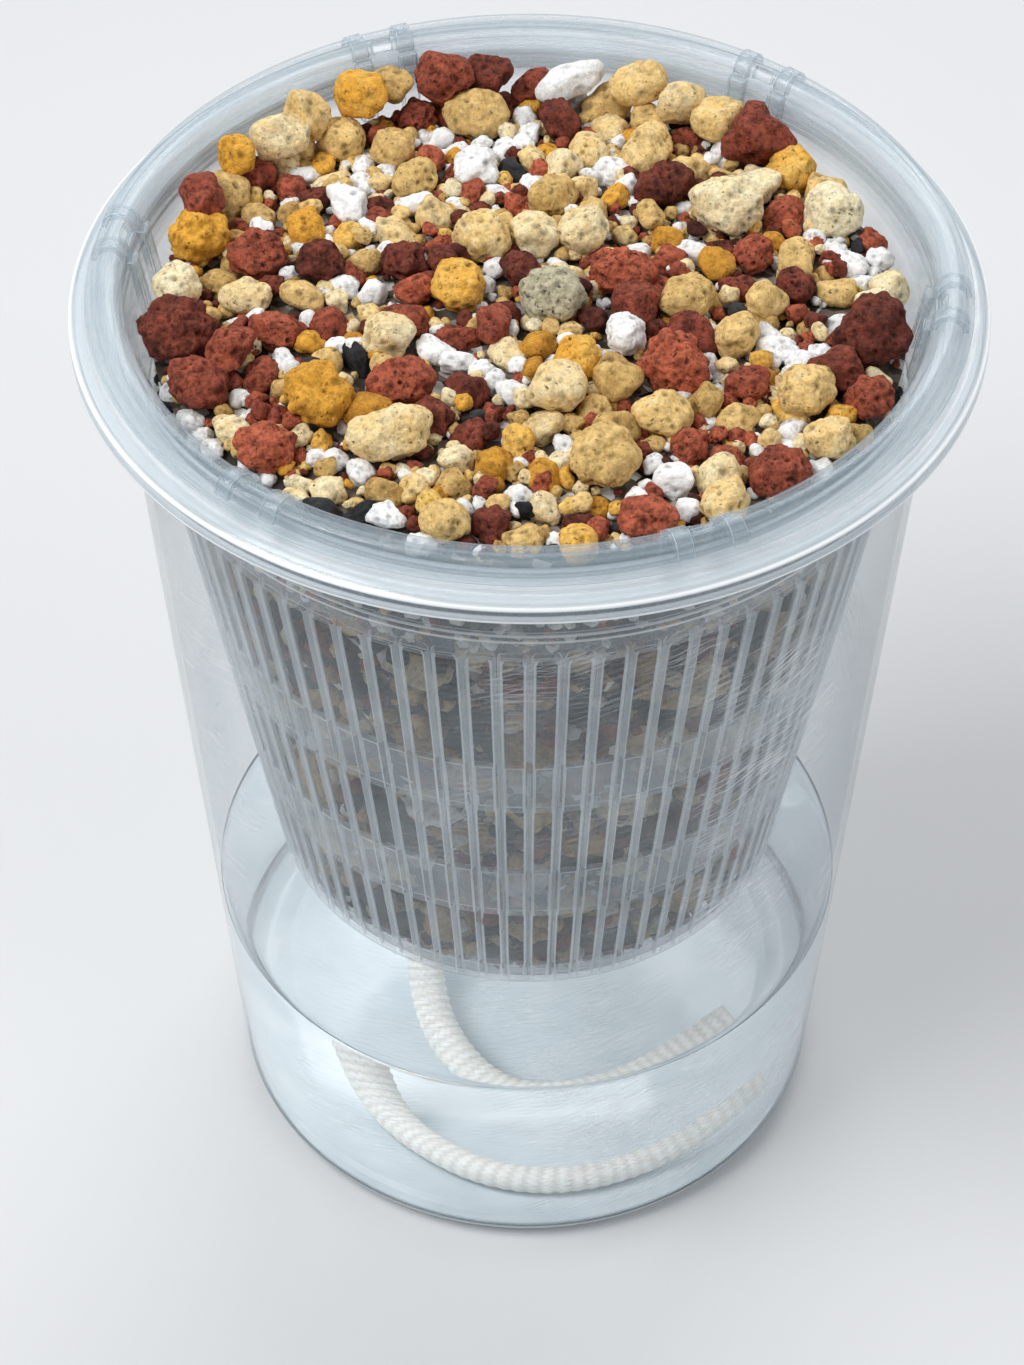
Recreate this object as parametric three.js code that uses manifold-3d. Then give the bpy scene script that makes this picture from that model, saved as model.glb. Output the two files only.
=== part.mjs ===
// Self-watering pot: a clear round cup is the water reservoir, a slotted net cup hangs in its mouth,
// and a braided wick carries water up into the potting mix, which has a top dressing of loose stones.
// Millimetres, +Z up, origin at the centre of the reservoir's foot.
import * as THREE from 'three';
import { mergeGeometries, mergeVertices } from 'three/addons/utils/BufferGeometryUtils.js';
import Module from 'manifold-3d';

const wasm = await Module();
wasm.setup();

// Reservoir cup
const CUP_HEIGHT = 144.5; // foot to the top of the rim flange
const CUP_BASE_RADIUS = 43.3; // outer wall carried down to the foot
const CUP_MOUTH_RADIUS = 52.8; // outer wall under the flange
const CUP_RIM_RADIUS = 58.5; // outside of the rim skirt
const CUP_WALL = 0.9;
const CUP_CORNER = 4.3; // outer radius between wall and foot
const FOOT_WIDTH = 3; // flat ring that the cup stands on
const FOOT_RECESS = 1.2; // how far the middle of the base is raised
const SKIRT_DEPTH = 3; // flange top to the skirt's lower edge
const RIM_CHAMFER = 0.8;
const RIM_CHAMFER_WIDTH = 1.6;

// Net cup
const NET_DEPTH = 95.3; // rim seat to the underside of the floor
const NET_BASE_RADIUS = 36; // outer wall carried down to the floor
const NET_WALL = 0.9;
const NET_CORNER = 1.5;
const NET_FIT_GAP = 0.5; // wall to the reservoir's mouth
const SEAT_GAP = 0.3; // collar to the flange that it hangs on
const NET_LIP_RISE = 3.8; // crest of the rolled lip above the seat
const LIP_ROUND = 2.1; // outer radius of the rolled lip
const LIP_OFFSET = 2; // crest of the lip outside the wall
const LIP_SHOULDER = 10; // degrees above level where the lip's roll meets the collar
const COLLAR_SETBACK = 2; // collar's outer edge inside the reservoir's rim
const COLLAR_EDGE = 0.6; // upright edge at the collar's foot
const BEAD_DROP = 15.2; // stacking bead below the seat
const BEAD_HEIGHT = 1.4;
const BEAD_STAND = 0.5;

// Slots in the net cup's wall, tier by tier from the floor up
const SLOTS_ROUND = 72;
const SLOT_SHARE = 0.6; // slot width as a share of the pitch
const SLOT_HEIGHTS = [13, 14.6, 22.4];
const RING_HEIGHTS = [4.6, 10.3, 9.9]; // plain ring under each tier

// Openings in the net cup's floor
const FLOOR_HOLES = 6;
const FLOOR_HOLE_RING = 16.1;
const WICK_HOLE = 3; // the hole that the wick passes through
const FLOOR_SLOTS = 24;
const FLOOR_SLOT_LENGTH = 8.5;
const FLOOR_SLOT_WIDTH = 2.2;
const FLOOR_SLOT_RING = 27.5;

// Stacking ribs in pairs inside the lip, with a small window between each pair
const RIB_PAIRS = 6;
const RIB_TURN = -7.5; // degrees from +X to the first pair
const RIB_SPREAD = 7.2; // degrees between the two ribs of a pair
const RIB_WIDTH = 2.6;
const RIB_LENGTH = 9;
const RIB_STAND = 0.8;
const WINDOW_WIDTH = 2.6;
const WINDOW_HEIGHT = 1.6;
const WINDOW_RISE = 0.5; // middle of the window above the top of the ribs

// Contents
const AIR_GAP = 11.4; // water to the underside of the net cup's floor
const CONTENT_GAP = 0.3; // contents to what holds them
const MIX_DROP = 9.6; // edge of the potting mix below the lip
const MIX_HEAP = 2.4; // middle of the mix above its edge
const MIX_TILT = 1.6; // front edge of the mix above the middle of its rim, and back edge below it
const HEAP_RINGS = [1, 0.6, 0]; // rings of the mix's top, as shares of its radius
const WICK_DIAMETER = 5.5;
const WICK_CLEARANCE = 0.4; // wick to the hole that it passes through
const WICK_LIE_GAP = 0.35; // wick to the reservoir's floor that it lies on
const WICK_CORE_LENGTH = 46; // stretch inside the potting mix
const WICK_CORE_LEAN = 0.55; // how far its top is drawn from over the hole to the axis, as a share
const CORE_END_GAP = 1; // room in the mix past the ends of that stretch
const CHUNK_COLUMNS = 36; // chunks of the mix and hollows, by turns, round the net cup's wall
const CHUNK_ROWS = 10; // the same up the wall, to the top of the slots
const CHUNK_HOLLOW = 2.8; // deepest hollow between chunks
const CHUNK_UNEVEN = 0.4; // share of that depth by which chunks and hollows differ among themselves
const CHUNK_SEED = 7;
const STONE_GAP = 0.35;
const STONE_FLATNESS = 0.86; // height of a stone as a share of its lesser width
const STONE_PLAIN = 9; // stones up to this length have fewer facets
const STONE_SEED = 1000;
const STONE_SEED_STEP = 37;
const BEDDED_SHARE = 0.3; // how much of a small stone's height is sunk in the mix
const BEDDED_UNEVEN = 0.2;
const BEDDED_SEED = 5000;
const SETTLE_STEP = 0.4; // how far a stone is lifted at a time to clear its neighbours
const SHIFT_STEP = 1; // how far a stone is shifted aside at a time before it is lifted
const SHIFT_RINGS = 5;
const SHIFT_BEARINGS = 8;

// Facet counts
const CUP_SIDES = 48;
const CONTENT_SIDES = 32;
const HOLE_SIDES = 12;
const WICK_SIDES = 8;
const WICK_STEPS = 26;
const CORE_STEPS = 6;

// Free wick, from its floor hole down to the reservoir's floor and round to its cut end, which lifts a little:
// x and y from the hole's centre, and height as a share of the drop from the hole to the floor
const WICK_ROUTE = [
  [0, 0, 1], [0, 0, 0.869], [0, 0, 0.726], [0, -0.1, 0.571], [0, -0.5, 0.42], [0.1, -1.9, 0.274],
  [0.3, -4.9, 0.146], [0.8, -9.3, 0.051], [1.7, -14.1, 0.007], [3.2, -18.9, 0], [5.7, -23.7, 0],
  [9.2, -28.1, 0], [13.8, -31.1, 0], [19.2, -32.3, 0], [24.6, -31.5, 0], [29.4, -29.6, 0.003],
  [33.7, -27.5, 0.018], [37.5, -25.2, 0.04], [40.9, -23, 0.062], [44, -20.9, 0.084], [46.6, -19.1, 0.102],
];

// Kinds of stone in the top dressing: colour, roughness and how uneven the surface is
const STONE_KINDS = {
  red_lava: { colour: 0x6e3129, roughness: 0.95, uneven: 0.26 },
  tan_pumice: { colour: 0xc2a873, roughness: 0.9, uneven: 0.15 },
  ochre_pumice: { colour: 0xc28a3c, roughness: 0.9, uneven: 0.17 },
  grey_gravel: { colour: 0x8f8c7d, roughness: 0.9, uneven: 0.14 },
  white_perlite: { colour: 0xeeeeea, roughness: 0.95, uneven: 0.2 },
};

// Stones of the top dressing: kind, x, y, length, width and turn in degrees
const STONES = [
  ['red_lava', -45, -8, 11, 10, 0],
  ['ochre_pumice', -44, 12, 10, 9, 60],
  ['red_lava', 44, -9, 13, 10, 70],
  ['tan_pumice', 40, 18, 9, 9, 0],
  ['tan_pumice', -17, -29, 13, 8, 20],
  ['tan_pumice', -7, 40, 11, 8, -15],
  ['tan_pumice', 26, 17, 11, 9, -30],
  ['tan_pumice', 9, -33, 10, 9, 100],
  ['red_lava', -36, 8, 9, 8, 30],
  ['red_lava', -41, -18, 9, 8, -40],
  ['red_lava', -32, -30, 9, 8, 10],
  ['ochre_pumice', -26, -22, 10, 9, 115],
  ['grey_gravel', 3, -3, 10, 9, 0],
  ['red_lava', 18, -16, 10, 9, 80],
  ['red_lava', 12, 3, 10, 7, -10],
  ['tan_pumice', -6, 10, 9, 9, 80],
  ['tan_pumice', 7, 12, 9, 8, 60],
  ['ochre_pumice', -9, 0, 9, 8, -60],
  ['red_lava', 18, 23, 10, 7, 25],
  ['tan_pumice', 34, -20, 9, 8, 50],
  ['tan_pumice', 16, -25, 10, 7, -10],
  ['red_lava', 30, -35, 9, 8, 40],
  ['red_lava', -16, -19, 10, 7, 15],
  ['red_lava', 14, -43, 8, 7, -20],
  ['red_lava', 43, -20, 8, 7, 60],
  ['tan_pumice', -48, 2, 8, 8, 100],
  ['tan_pumice', -43, 22, 8, 8, 30],
  ['tan_pumice', 23, -40, 8, 7, 75],
  ['red_lava', -28, 6, 8, 7, 90],
  ['tan_pumice', 20, -2, 9, 8, 75],
  ['tan_pumice', 26, -9, 8, 7, 65],
  ['ochre_pumice', 35, 28, 8, 8, 70],
  ['tan_pumice', 16, 32, 11, 7, 65],
  ['tan_pumice', 8, 32, 8, 6, 110],
  ['tan_pumice', -18, 33, 8, 7, 85],
  ['tan_pumice', -25, 35, 8, 8, 120],
  ['tan_pumice', -15, 25, 8, 7, 70],
  ['white_perlite', -8, 27, 8, 7, 90],
  ['ochre_pumice', 6, -14, 8, 7, 60],
  ['red_lava', -16, 6, 8, 7, 95],
  ['tan_pumice', 3, 20, 8, 7, 30],
  ['tan_pumice', -36, 0, 8, 6, 10],
  ['red_lava', -32, -7, 8, 6, -20],
  ['ochre_pumice', -29, 15, 8, 6, 80],
  ['red_lava', -37, 27, 7, 6, 100],
  ['red_lava', 29, 9, 7, 6, 80],
  ['tan_pumice', 38, -29, 7, 7, 40],
  ['white_perlite', 12, -9, 8, 6, 90],
  ['red_lava', -14, 41, 7, 6, 40],
  ['red_lava', 34, 2, 7, 6, 90],
  ['red_lava', 27, -19, 7, 6, 20],
  ['tan_pumice', -10, -43, 7, 7, 80],
];

// Small stones bedded in the top of the mix between the others: x, y, length and width
const BEDDED_STONES = [
  [-20, 20, 6, 4.5], [-6.5, 18.5, 6, 4.5], [-11.5, 11.5, 6, 4], [-33.5, -14.5, 7, 5], [-25.5, -5.5, 6.5, 6],
  [-15.5, -5.5, 7, 6], [-9, -8, 6, 5], [-31.5, -22.5, 6, 4.5], [-10, -19, 6, 6], [-7, -27, 6.5, 5],
  [6, -42.5, 6, 4.5], [24, -31, 5.5, 5], [26.5, 1.5, 6, 6], [22, 37.5, 7, 5], [4, 42.5, 6, 5.5],
  [33.5, 19.5, 6.5, 6], [-30, 39.5, 6, 6], [-26, 27.5, 6.5, 4], [-12.5, 17.5, 6, 6], [-16.5, 13, 7, 5],
  [-44, 0, 6, 5], [-4, -11.5, 8, 5.5], [-36.5, -22.5, 7, 6], [-9, -35.5, 5.5, 5],
  [-2.5, -46, 6, 5], [8, -22.5, 7, 5.5], [1.5, -26, 7, 6], [25.5, -24, 7, 6], [35, 11, 6.5, 6],
  [39.5, 3, 6.5, 6], [12.5, 14, 6, 4.5], [11, 38.5, 6.5, 6], [17, 42, 7, 6],
  [30.5, 28.5, 6.5, 4], [26, 27.5, 6, 5], [-24.5, 13.5, 5.5, 5], [2, -34, 5.5, 5], [6.5, -46, 5.5, 5],
  [3, 33, 7, 5], [17, 13, 6, 5], [17.5, -35, 6, 6], [31, -28.5, 5.5, 4.5], [-13, 36.5, 6, 4.5],
  [1, 25.5, 6, 5], [-24, -36, 6, 5],
];

// Heights that follow from the sizes above
const seatHeight = CUP_HEIGHT + SEAT_GAP;
const netBottom = seatHeight - NET_DEPTH;
const netFloorTop = netBottom + NET_WALL;
const netTop = seatHeight + NET_LIP_RISE;
const reservoirFloor = FOOT_RECESS + CUP_WALL;
const waterTop = netBottom - AIR_GAP;
const lipCentre = netTop - LIP_ROUND;
const ribBottom = lipCentre - RIB_LENGTH;
const mixEdge = netTop - MIX_DROP;
const slotTop = [...RING_HEIGHTS, ...SLOT_HEIGHTS].reduce((height, step) => height + step, netBottom);
const pitch = (2 * Math.PI) / SLOTS_ROUND;

function radians(degrees) {
  return THREE.MathUtils.degToRad(degrees);
}

// Outer radius of the reservoir's wall at a height
function cupOuter(z) {
  return CUP_BASE_RADIUS + ((CUP_MOUTH_RADIUS - CUP_BASE_RADIUS) * z) / (CUP_HEIGHT - CUP_WALL);
}

// Outer and inner radius of the net cup's wall at a height
const netMouth = cupOuter(CUP_HEIGHT) - CUP_WALL - NET_FIT_GAP;
const netSlope = (netMouth - NET_BASE_RADIUS) / NET_DEPTH;

function netOuter(z) {
  return NET_BASE_RADIUS + netSlope * (z - netBottom);
}

function netInner(z) {
  return netOuter(z) - NET_WALL;
}

// Radius and height of the potting mix, which is heaped in the middle and lies lower at the back
const mixShoulder = Math.min(ribBottom, mixEdge - MIX_TILT) - RIB_STAND - 2 * CONTENT_GAP;
const mixRadius = netInner(mixShoulder) - RIB_STAND - 2 * CONTENT_GAP;

function mixTop(x, y) {
  const share = Math.hypot(x, y) / mixRadius;
  return mixEdge + MIX_HEAP * (1 - share * share) - (MIX_TILT * y) / mixRadius;
}

// Solid modelling helpers
function arc(centreR, centreZ, radius, from, to, steps) {
  const points = [];
  for (let i = 0; i <= steps; i += 1) {
    const angle = radians(from + ((to - from) * i) / steps);
    points.push([centreR + radius * Math.cos(angle), centreZ + radius * Math.sin(angle)]);
  }
  return points;
}

function lathe(outline, sides) {
  const points = outline.map(([r, z]) => new THREE.Vector2(r, z));
  return new THREE.LatheGeometry(points, sides).rotateX(Math.PI / 2);
}

function revolve(outline, sides) {
  return toSolid(lathe(outline, sides));
}

function toSolid(geometry) {
  const bare = geometry.clone();
  bare.deleteAttribute('normal');
  bare.deleteAttribute('uv');
  const merged = mergeVertices(bare);
  const corners = merged.index.array;
  const triangles = [];
  for (let i = 0; i < corners.length; i += 3) {
    const [a, b, c] = corners.slice(i, i + 3);
    if (a !== b && b !== c && c !== a) {
      triangles.push(a, b, c);
    }
  }
  const vertProperties = new Float32Array(merged.attributes.position.array);
  const triVerts = new Uint32Array(triangles);
  return new wasm.Manifold(new wasm.Mesh({ numProp: 3, vertProperties, triVerts }));
}

function toMesh(name, solid, look) {
  const { vertProperties, triVerts } = solid.getMesh();
  const geometry = new THREE.BufferGeometry();
  geometry.setAttribute('position', new THREE.BufferAttribute(new Float32Array(vertProperties), 3));
  geometry.setIndex(new THREE.BufferAttribute(new Uint32Array(triVerts), 1));
  geometry.computeVertexNormals();
  const mesh = new THREE.Mesh(geometry, new THREE.MeshStandardMaterial({ metalness: 0, ...look }));
  mesh.name = name;
  return mesh;
}

// Reservoir cup: a thin tapered shell with a raised base, a foot ring and a turned-down rim
const cornerCentre = cupOuter(CUP_CORNER) - CUP_CORNER;
const footInner = cornerCentre - FOOT_WIDTH;

// Inside of the cup from its axis to a height on its wall, drawn in by a gap
function cupInside(gap, top) {
  const skin = CUP_WALL + gap;
  const mitre = skin * Math.tan(Math.PI / 8);
  return [
    [0, FOOT_RECESS + skin],
    [footInner - FOOT_RECESS + mitre, FOOT_RECESS + skin],
    [footInner + mitre, skin],
    ...arc(cornerCentre, CUP_CORNER, CUP_CORNER - skin, -90, 0, 2),
    [cupOuter(top) - skin, top],
  ];
}

function makeReservoir() {
  const flangeUnder = CUP_HEIGHT - CUP_WALL;
  const skirtBottom = CUP_HEIGHT - SKIRT_DEPTH;
  const skirtInner = CUP_RIM_RADIUS - CUP_WALL;
  return revolve([
    [0, FOOT_RECESS],
    [footInner - FOOT_RECESS, FOOT_RECESS],
    [footInner, 0],
    ...arc(cornerCentre, CUP_CORNER, CUP_CORNER, -90, 0, 2),
    [cupOuter(flangeUnder), flangeUnder],
    [skirtInner, flangeUnder],
    [skirtInner, skirtBottom],
    [CUP_RIM_RADIUS, skirtBottom],
    [CUP_RIM_RADIUS, CUP_HEIGHT - RIM_CHAMFER],
    [CUP_RIM_RADIUS - RIM_CHAMFER_WIDTH, CUP_HEIGHT],
    ...cupInside(0, CUP_HEIGHT).reverse(),
  ], CUP_SIDES);
}

// Net cup: a tapered shell whose wall is a lattice of slots, hung by a collar on the reservoir's rim
function netShell() {
  const collarRadius = CUP_RIM_RADIUS - COLLAR_SETBACK;
  const lipRadius = netOuter(seatHeight) + LIP_OFFSET;
  const bead = seatHeight - BEAD_DROP;
  const cornerTop = netBottom + NET_CORNER;
  return revolve([
    [0, netBottom],
    ...arc(netOuter(cornerTop) - NET_CORNER, cornerTop, NET_CORNER, -90, 0, 1),
    [netOuter(bead - BEAD_HEIGHT / 2), bead - BEAD_HEIGHT / 2],
    [netOuter(bead) + BEAD_STAND, bead],
    [netOuter(bead + BEAD_HEIGHT / 2), bead + BEAD_HEIGHT / 2],
    [netOuter(seatHeight), seatHeight],
    ...arc(lipRadius, lipCentre, LIP_ROUND - NET_WALL, 180, 0, 2),
    [collarRadius - NET_WALL, seatHeight],
    [collarRadius, seatHeight],
    [collarRadius, seatHeight + COLLAR_EDGE],
    ...arc(lipRadius, lipCentre, LIP_ROUND, LIP_SHOULDER, 180, 3),
    [netInner(seatHeight), seatHeight],
    [netInner(netFloorTop), netFloorTop],
    [0, netFloorTop],
  ], SLOTS_ROUND);
}

function boxAt(size, bearing, radius, height) {
  const [radial, across, tall] = size;
  const box = new THREE.BoxGeometry(radial, across, tall);
  return box.translate(radius, 0, height).rotateZ(bearing);
}

function wallSlots() {
  const cutters = [];
  let bottom = netBottom;
  SLOT_HEIGHTS.forEach((tall, tier) => {
    bottom += RING_HEIGHTS[tier];
    const middle = bottom + tall / 2;
    const radius = netOuter(middle) - NET_WALL / 2;
    const radial = 4 * NET_WALL + netSlope * tall;
    const across = SLOT_SHARE * pitch * radius;
    for (let i = 0; i < SLOTS_ROUND; i += 1) {
      cutters.push(boxAt([radial, across, tall], (i + 0.5) * pitch, radius, middle));
    }
    bottom += tall;
  });
  return cutters;
}

function floorOpenings() {
  const cutters = [];
  const middle = netBottom + NET_WALL / 2;
  const tall = 3 * NET_WALL;
  const holeRadius = WICK_DIAMETER / 2 + WICK_CLEARANCE;
  for (let i = 0; i < FLOOR_HOLES; i += 1) {
    const hole = new THREE.CylinderGeometry(holeRadius, holeRadius, tall, HOLE_SIDES);
    const bearing = radians(RIB_TURN) + (2 * Math.PI * i) / FLOOR_HOLES;
    hole.rotateX(Math.PI / 2).translate(FLOOR_HOLE_RING, 0, middle).rotateZ(bearing);
    cutters.push(hole);
  }
  for (let i = 0; i < FLOOR_SLOTS; i += 1) {
    const bearing = (2 * Math.PI * (i + 0.5)) / FLOOR_SLOTS;
    cutters.push(boxAt([FLOOR_SLOT_LENGTH, FLOOR_SLOT_WIDTH, tall], bearing, FLOOR_SLOT_RING, middle));
  }
  return cutters;
}

// One upright rib with a round lower end, set on the sloping inside of the wall
function stackingRib(bearing) {
  const half = RIB_WIDTH / 2;
  const outline = new THREE.Shape();
  outline.moveTo(-half, 0);
  outline.lineTo(-half, half - RIB_LENGTH);
  outline.absarc(0, half - RIB_LENGTH, half, Math.PI, 2 * Math.PI, false);
  outline.lineTo(half, 0);
  const root = NET_WALL / 2;
  const settings = { depth: RIB_STAND + root, bevelEnabled: false, curveSegments: 3 };
  const rib = new THREE.ExtrudeGeometry(outline, settings).translate(0, 0, -RIB_STAND);
  const tilt = Math.atan(netSlope);
  rib.rotateX(Math.PI / 2 + tilt).rotateZ(Math.PI / 2).translate(netInner(lipCentre), 0, lipCentre);
  return rib.rotateZ(bearing);
}

function ribBearings() {
  const bearings = [];
  for (let i = 0; i < RIB_PAIRS; i += 1) {
    bearings.push(radians(RIB_TURN) + (2 * Math.PI * i) / RIB_PAIRS);
  }
  return bearings;
}

function makeNetCup() {
  let cup = netShell();
  const windows = [];
  const windowHeight = lipCentre + WINDOW_RISE;
  const windowRadius = netOuter(seatHeight) + LIP_OFFSET - LIP_ROUND + NET_WALL / 2;
  ribBearings().forEach((bearing) => {
    [-0.5, 0.5].forEach((side) => {
      cup = cup.add(toSolid(stackingRib(bearing + side * radians(RIB_SPREAD))));
    });
    windows.push(boxAt([2 * NET_WALL, WINDOW_WIDTH, WINDOW_HEIGHT], bearing, windowRadius, windowHeight));
  });
  const cutters = [...wallSlots(), ...floorOpenings(), ...windows];
  return cup.subtract(toSolid(mergeGeometries(cutters.map((cutter) => cutter.toNonIndexed()))));
}

// Wick: a round cord that hangs from one of the floor holes, and lies on the reservoir's floor
const wickBearing = radians(RIB_TURN) + (2 * Math.PI * WICK_HOLE) / FLOOR_HOLES;
const wickX = FLOOR_HOLE_RING * Math.cos(wickBearing);
const wickY = FLOOR_HOLE_RING * Math.sin(wickBearing);
const wickLie = reservoirFloor + WICK_LIE_GAP + WICK_DIAMETER / 2;

const tailPoints = WICK_ROUTE.map(([x, y, share]) => {
  return new THREE.Vector3(wickX + x, wickY + y, wickLie + share * (netFloorTop - wickLie));
});

function cord(points, diameter, steps) {
  const section = new THREE.Shape();
  for (let i = 0; i < WICK_SIDES; i += 1) {
    const angle = (2 * Math.PI * i) / WICK_SIDES;
    const corner = [(diameter / 2) * Math.cos(angle), (diameter / 2) * Math.sin(angle)];
    if (i === 0) {
      section.moveTo(...corner);
    } else {
      section.lineTo(...corner);
    }
  }
  const path = new THREE.CatmullRomCurve3(points, false, 'centripetal');
  return toSolid(new THREE.ExtrudeGeometry(section, { steps, bevelEnabled: false, extrudePath: path }));
}

// Stretch of the wick inside the mix, drawn up from the floor hole towards the middle
function corePoints(extra) {
  const bottom = netFloorTop + CONTENT_GAP;
  return [0, 0.35, 0.7, 1].map((share) => {
    const inward = 1 - WICK_CORE_LEAN * share * share;
    const height = bottom + share * (WICK_CORE_LENGTH + extra);
    return new THREE.Vector3(wickX * inward, wickY * inward, share === 0 ? height - extra : height);
  });
}

function makeWater() {
  const body = revolve([...cupInside(CONTENT_GAP, waterTop), [0, waterTop]], CONTENT_SIDES);
  const end = tailPoints.at(-1);
  const beyond = end.clone().sub(tailPoints.at(-2)).setLength(2 * CONTENT_GAP).add(end);
  const channel = cord([...tailPoints, beyond], WICK_DIAMETER + 2 * WICK_CLEARANCE, WICK_STEPS);
  return body.subtract(channel);
}

function randomFrom(seed) {
  let state = seed;
  return () => {
    state = (state * 16807) % 2147483647;
    return state / 2147483647;
  };
}

// Potting mix: chunks and hollows by turns behind the slots, then drawn in at the top to clear the ribs
function mixOutline(chunkHeights) {
  const bottom = chunkHeights[0];
  return [
    [0, bottom],
    ...chunkHeights.map((z) => [netInner(z) - CONTENT_GAP, z]),
    [netInner(mixShoulder) - CONTENT_GAP, mixShoulder],
    [mixRadius, mixShoulder + RIB_STAND],
    ...HEAP_RINGS.map((share) => [mixRadius * share, mixEdge]),
  ];
}

function makeMix(bedded) {
  const bottom = netFloorTop + CONTENT_GAP;
  const chunkHeights = [];
  for (let row = 0; row <= CHUNK_ROWS; row += 1) {
    chunkHeights.push(bottom + ((slotTop - bottom) * row) / CHUNK_ROWS);
  }
  const outline = mixOutline(chunkHeights);
  const random = randomFrom(CHUNK_SEED);
  const uneven = outline.map(() => Array.from({ length: CHUNK_COLUMNS }, () => CHUNK_UNEVEN * random()));
  const body = lathe(outline, CHUNK_COLUMNS);
  const position = body.attributes.position;
  for (let i = 0; i < position.count; i += 1) {
    const row = i % outline.length;
    const column = Math.floor(i / outline.length) % CHUNK_COLUMNS;
    const x = position.getX(i);
    const y = position.getY(i);
    if (position.getZ(i) > mixEdge - CONTENT_GAP) {
      position.setZ(i, mixTop(x, y));
    } else if (row > 0 && row <= chunkHeights.length) {
      const isChunk = (row + column) % 2 === 0;
      const share = isChunk ? uneven[row][column] : 1 - uneven[row][column];
      const drawn = 1 - (CHUNK_HOLLOW * share) / Math.hypot(x, y);
      position.setXY(i, x * drawn, y * drawn);
    }
  }
  const channel = cord(corePoints(CORE_END_GAP), WICK_DIAMETER + 2 * WICK_CLEARANCE, CORE_STEPS);
  return bedded.reduce((mix, stone) => mix.add(stone), toSolid(body).subtract(channel));
}

// Stones: uneven pebbles, each let down until it lies on the mix or on stones already there
function pebble(base, uneven, length, width, turn, seed) {
  const random = randomFrom(seed);
  base.deleteAttribute('normal');
  base.deleteAttribute('uv');
  const stone = mergeVertices(base);
  const position = stone.attributes.position;
  for (let i = 0; i < position.count; i += 1) {
    const swell = 1 + uneven * (0.5 - random());
    position.setXYZ(i, position.getX(i) * swell, position.getY(i) * swell, position.getZ(i) * swell);
  }
  const height = STONE_FLATNESS * Math.min(length, width);
  return toSolid(stone.scale(length / 2, width / 2, height / 2).rotateZ(radians(turn)));
}

// Lowest place of a stone on the bare mix
function restingHeight(stone, x, y) {
  const { vertProperties } = stone.getMesh();
  let height = 0;
  for (let i = 0; i < vertProperties.length; i += 3) {
    const [dx, dy, dz] = vertProperties.slice(i, i + 3);
    height = Math.max(height, mixTop(x + dx, y + dy) - dz);
  }
  return height + STONE_GAP;
}

// Places to try for a stone: where it was seen, then rings of shifts around that
function placesNear(x, y) {
  const places = [[x, y]];
  for (let ring = 1; ring <= SHIFT_RINGS; ring += 1) {
    for (let i = 0; i < SHIFT_BEARINGS; i += 1) {
      const bearing = (2 * Math.PI * i) / SHIFT_BEARINGS;
      places.push([x + ring * SHIFT_STEP * Math.cos(bearing), y + ring * SHIFT_STEP * Math.sin(bearing)]);
    }
  }
  return places;
}

function isClear(solid, others) {
  return others.every((other) => solid.minGap(other, STONE_GAP) >= STONE_GAP);
}

function layStone(shape, places, others) {
  const tried = places.map(([x, y]) => shape.translate([x, y, restingHeight(shape, x, y)]));
  const place = tried.find((solid) => isClear(solid, others));
  if (place) {
    return place;
  }
  let [raised] = tried;
  while (!isClear(raised, others)) {
    raised = raised.translate([0, 0, SETTLE_STEP]);
  }
  return raised;
}

function makeStones(netCup) {
  const laid = [];
  const counts = {};
  STONES.forEach(([kind, x, y, length, width, turn], i) => {
    const plain = length <= STONE_PLAIN;
    const base = plain ? new THREE.IcosahedronGeometry(1) : new THREE.DodecahedronGeometry(1);
    const seed = STONE_SEED + STONE_SEED_STEP * i;
    const shape = pebble(base, STONE_KINDS[kind].uneven, length, width, turn, seed);
    const solid = layStone(shape, placesNear(x, y), [netCup, ...laid.map((stone) => stone.solid)]);
    counts[kind] = (counts[kind] ?? 0) + 1;
    laid.push({ kind, name: `${kind}_${String(counts[kind]).padStart(2, '0')}`, solid });
  });
  return laid;
}

// Small stones sunk in the mix wherever the others leave them room
function bedStones(others) {
  const bedded = [];
  const random = randomFrom(BEDDED_SEED);
  BEDDED_STONES.forEach(([x, y, length, width], i) => {
    const base = new THREE.OctahedronGeometry(1);
    const seed = BEDDED_SEED + STONE_SEED_STEP * i;
    const shape = pebble(base, BEDDED_UNEVEN, length, width, 360 * random(), seed);
    const rise = (0.5 - BEDDED_SHARE) * STONE_FLATNESS * Math.min(length, width);
    const place = placesNear(x, y)
      .filter(([nearX, nearY]) => Math.hypot(nearX, nearY) + length / 2 < mixRadius)
      .map(([nearX, nearY]) => shape.translate([nearX, nearY, mixTop(nearX, nearY) + rise]))
      .find((solid) => isClear(solid, [...others, ...bedded]));
    if (place) {
      bedded.push(place);
    }
  });
  return bedded;
}

// Scene graph: what stands still, and what lifts out with the net cup
const clearPlastic = { color: 0xdbe5ea, roughness: 0.22, transparent: true, opacity: 0.4 };
const wickLook = { color: 0xf0efe9, roughness: 0.95 };

const reservoir = new THREE.Group();
reservoir.add(toMesh('reservoir_cup', makeReservoir(), clearPlastic));
const waterLook = { color: 0xc5dbe8, roughness: 0.03, transparent: true, opacity: 0.5 };
reservoir.add(toMesh('water', makeWater(), waterLook));

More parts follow.
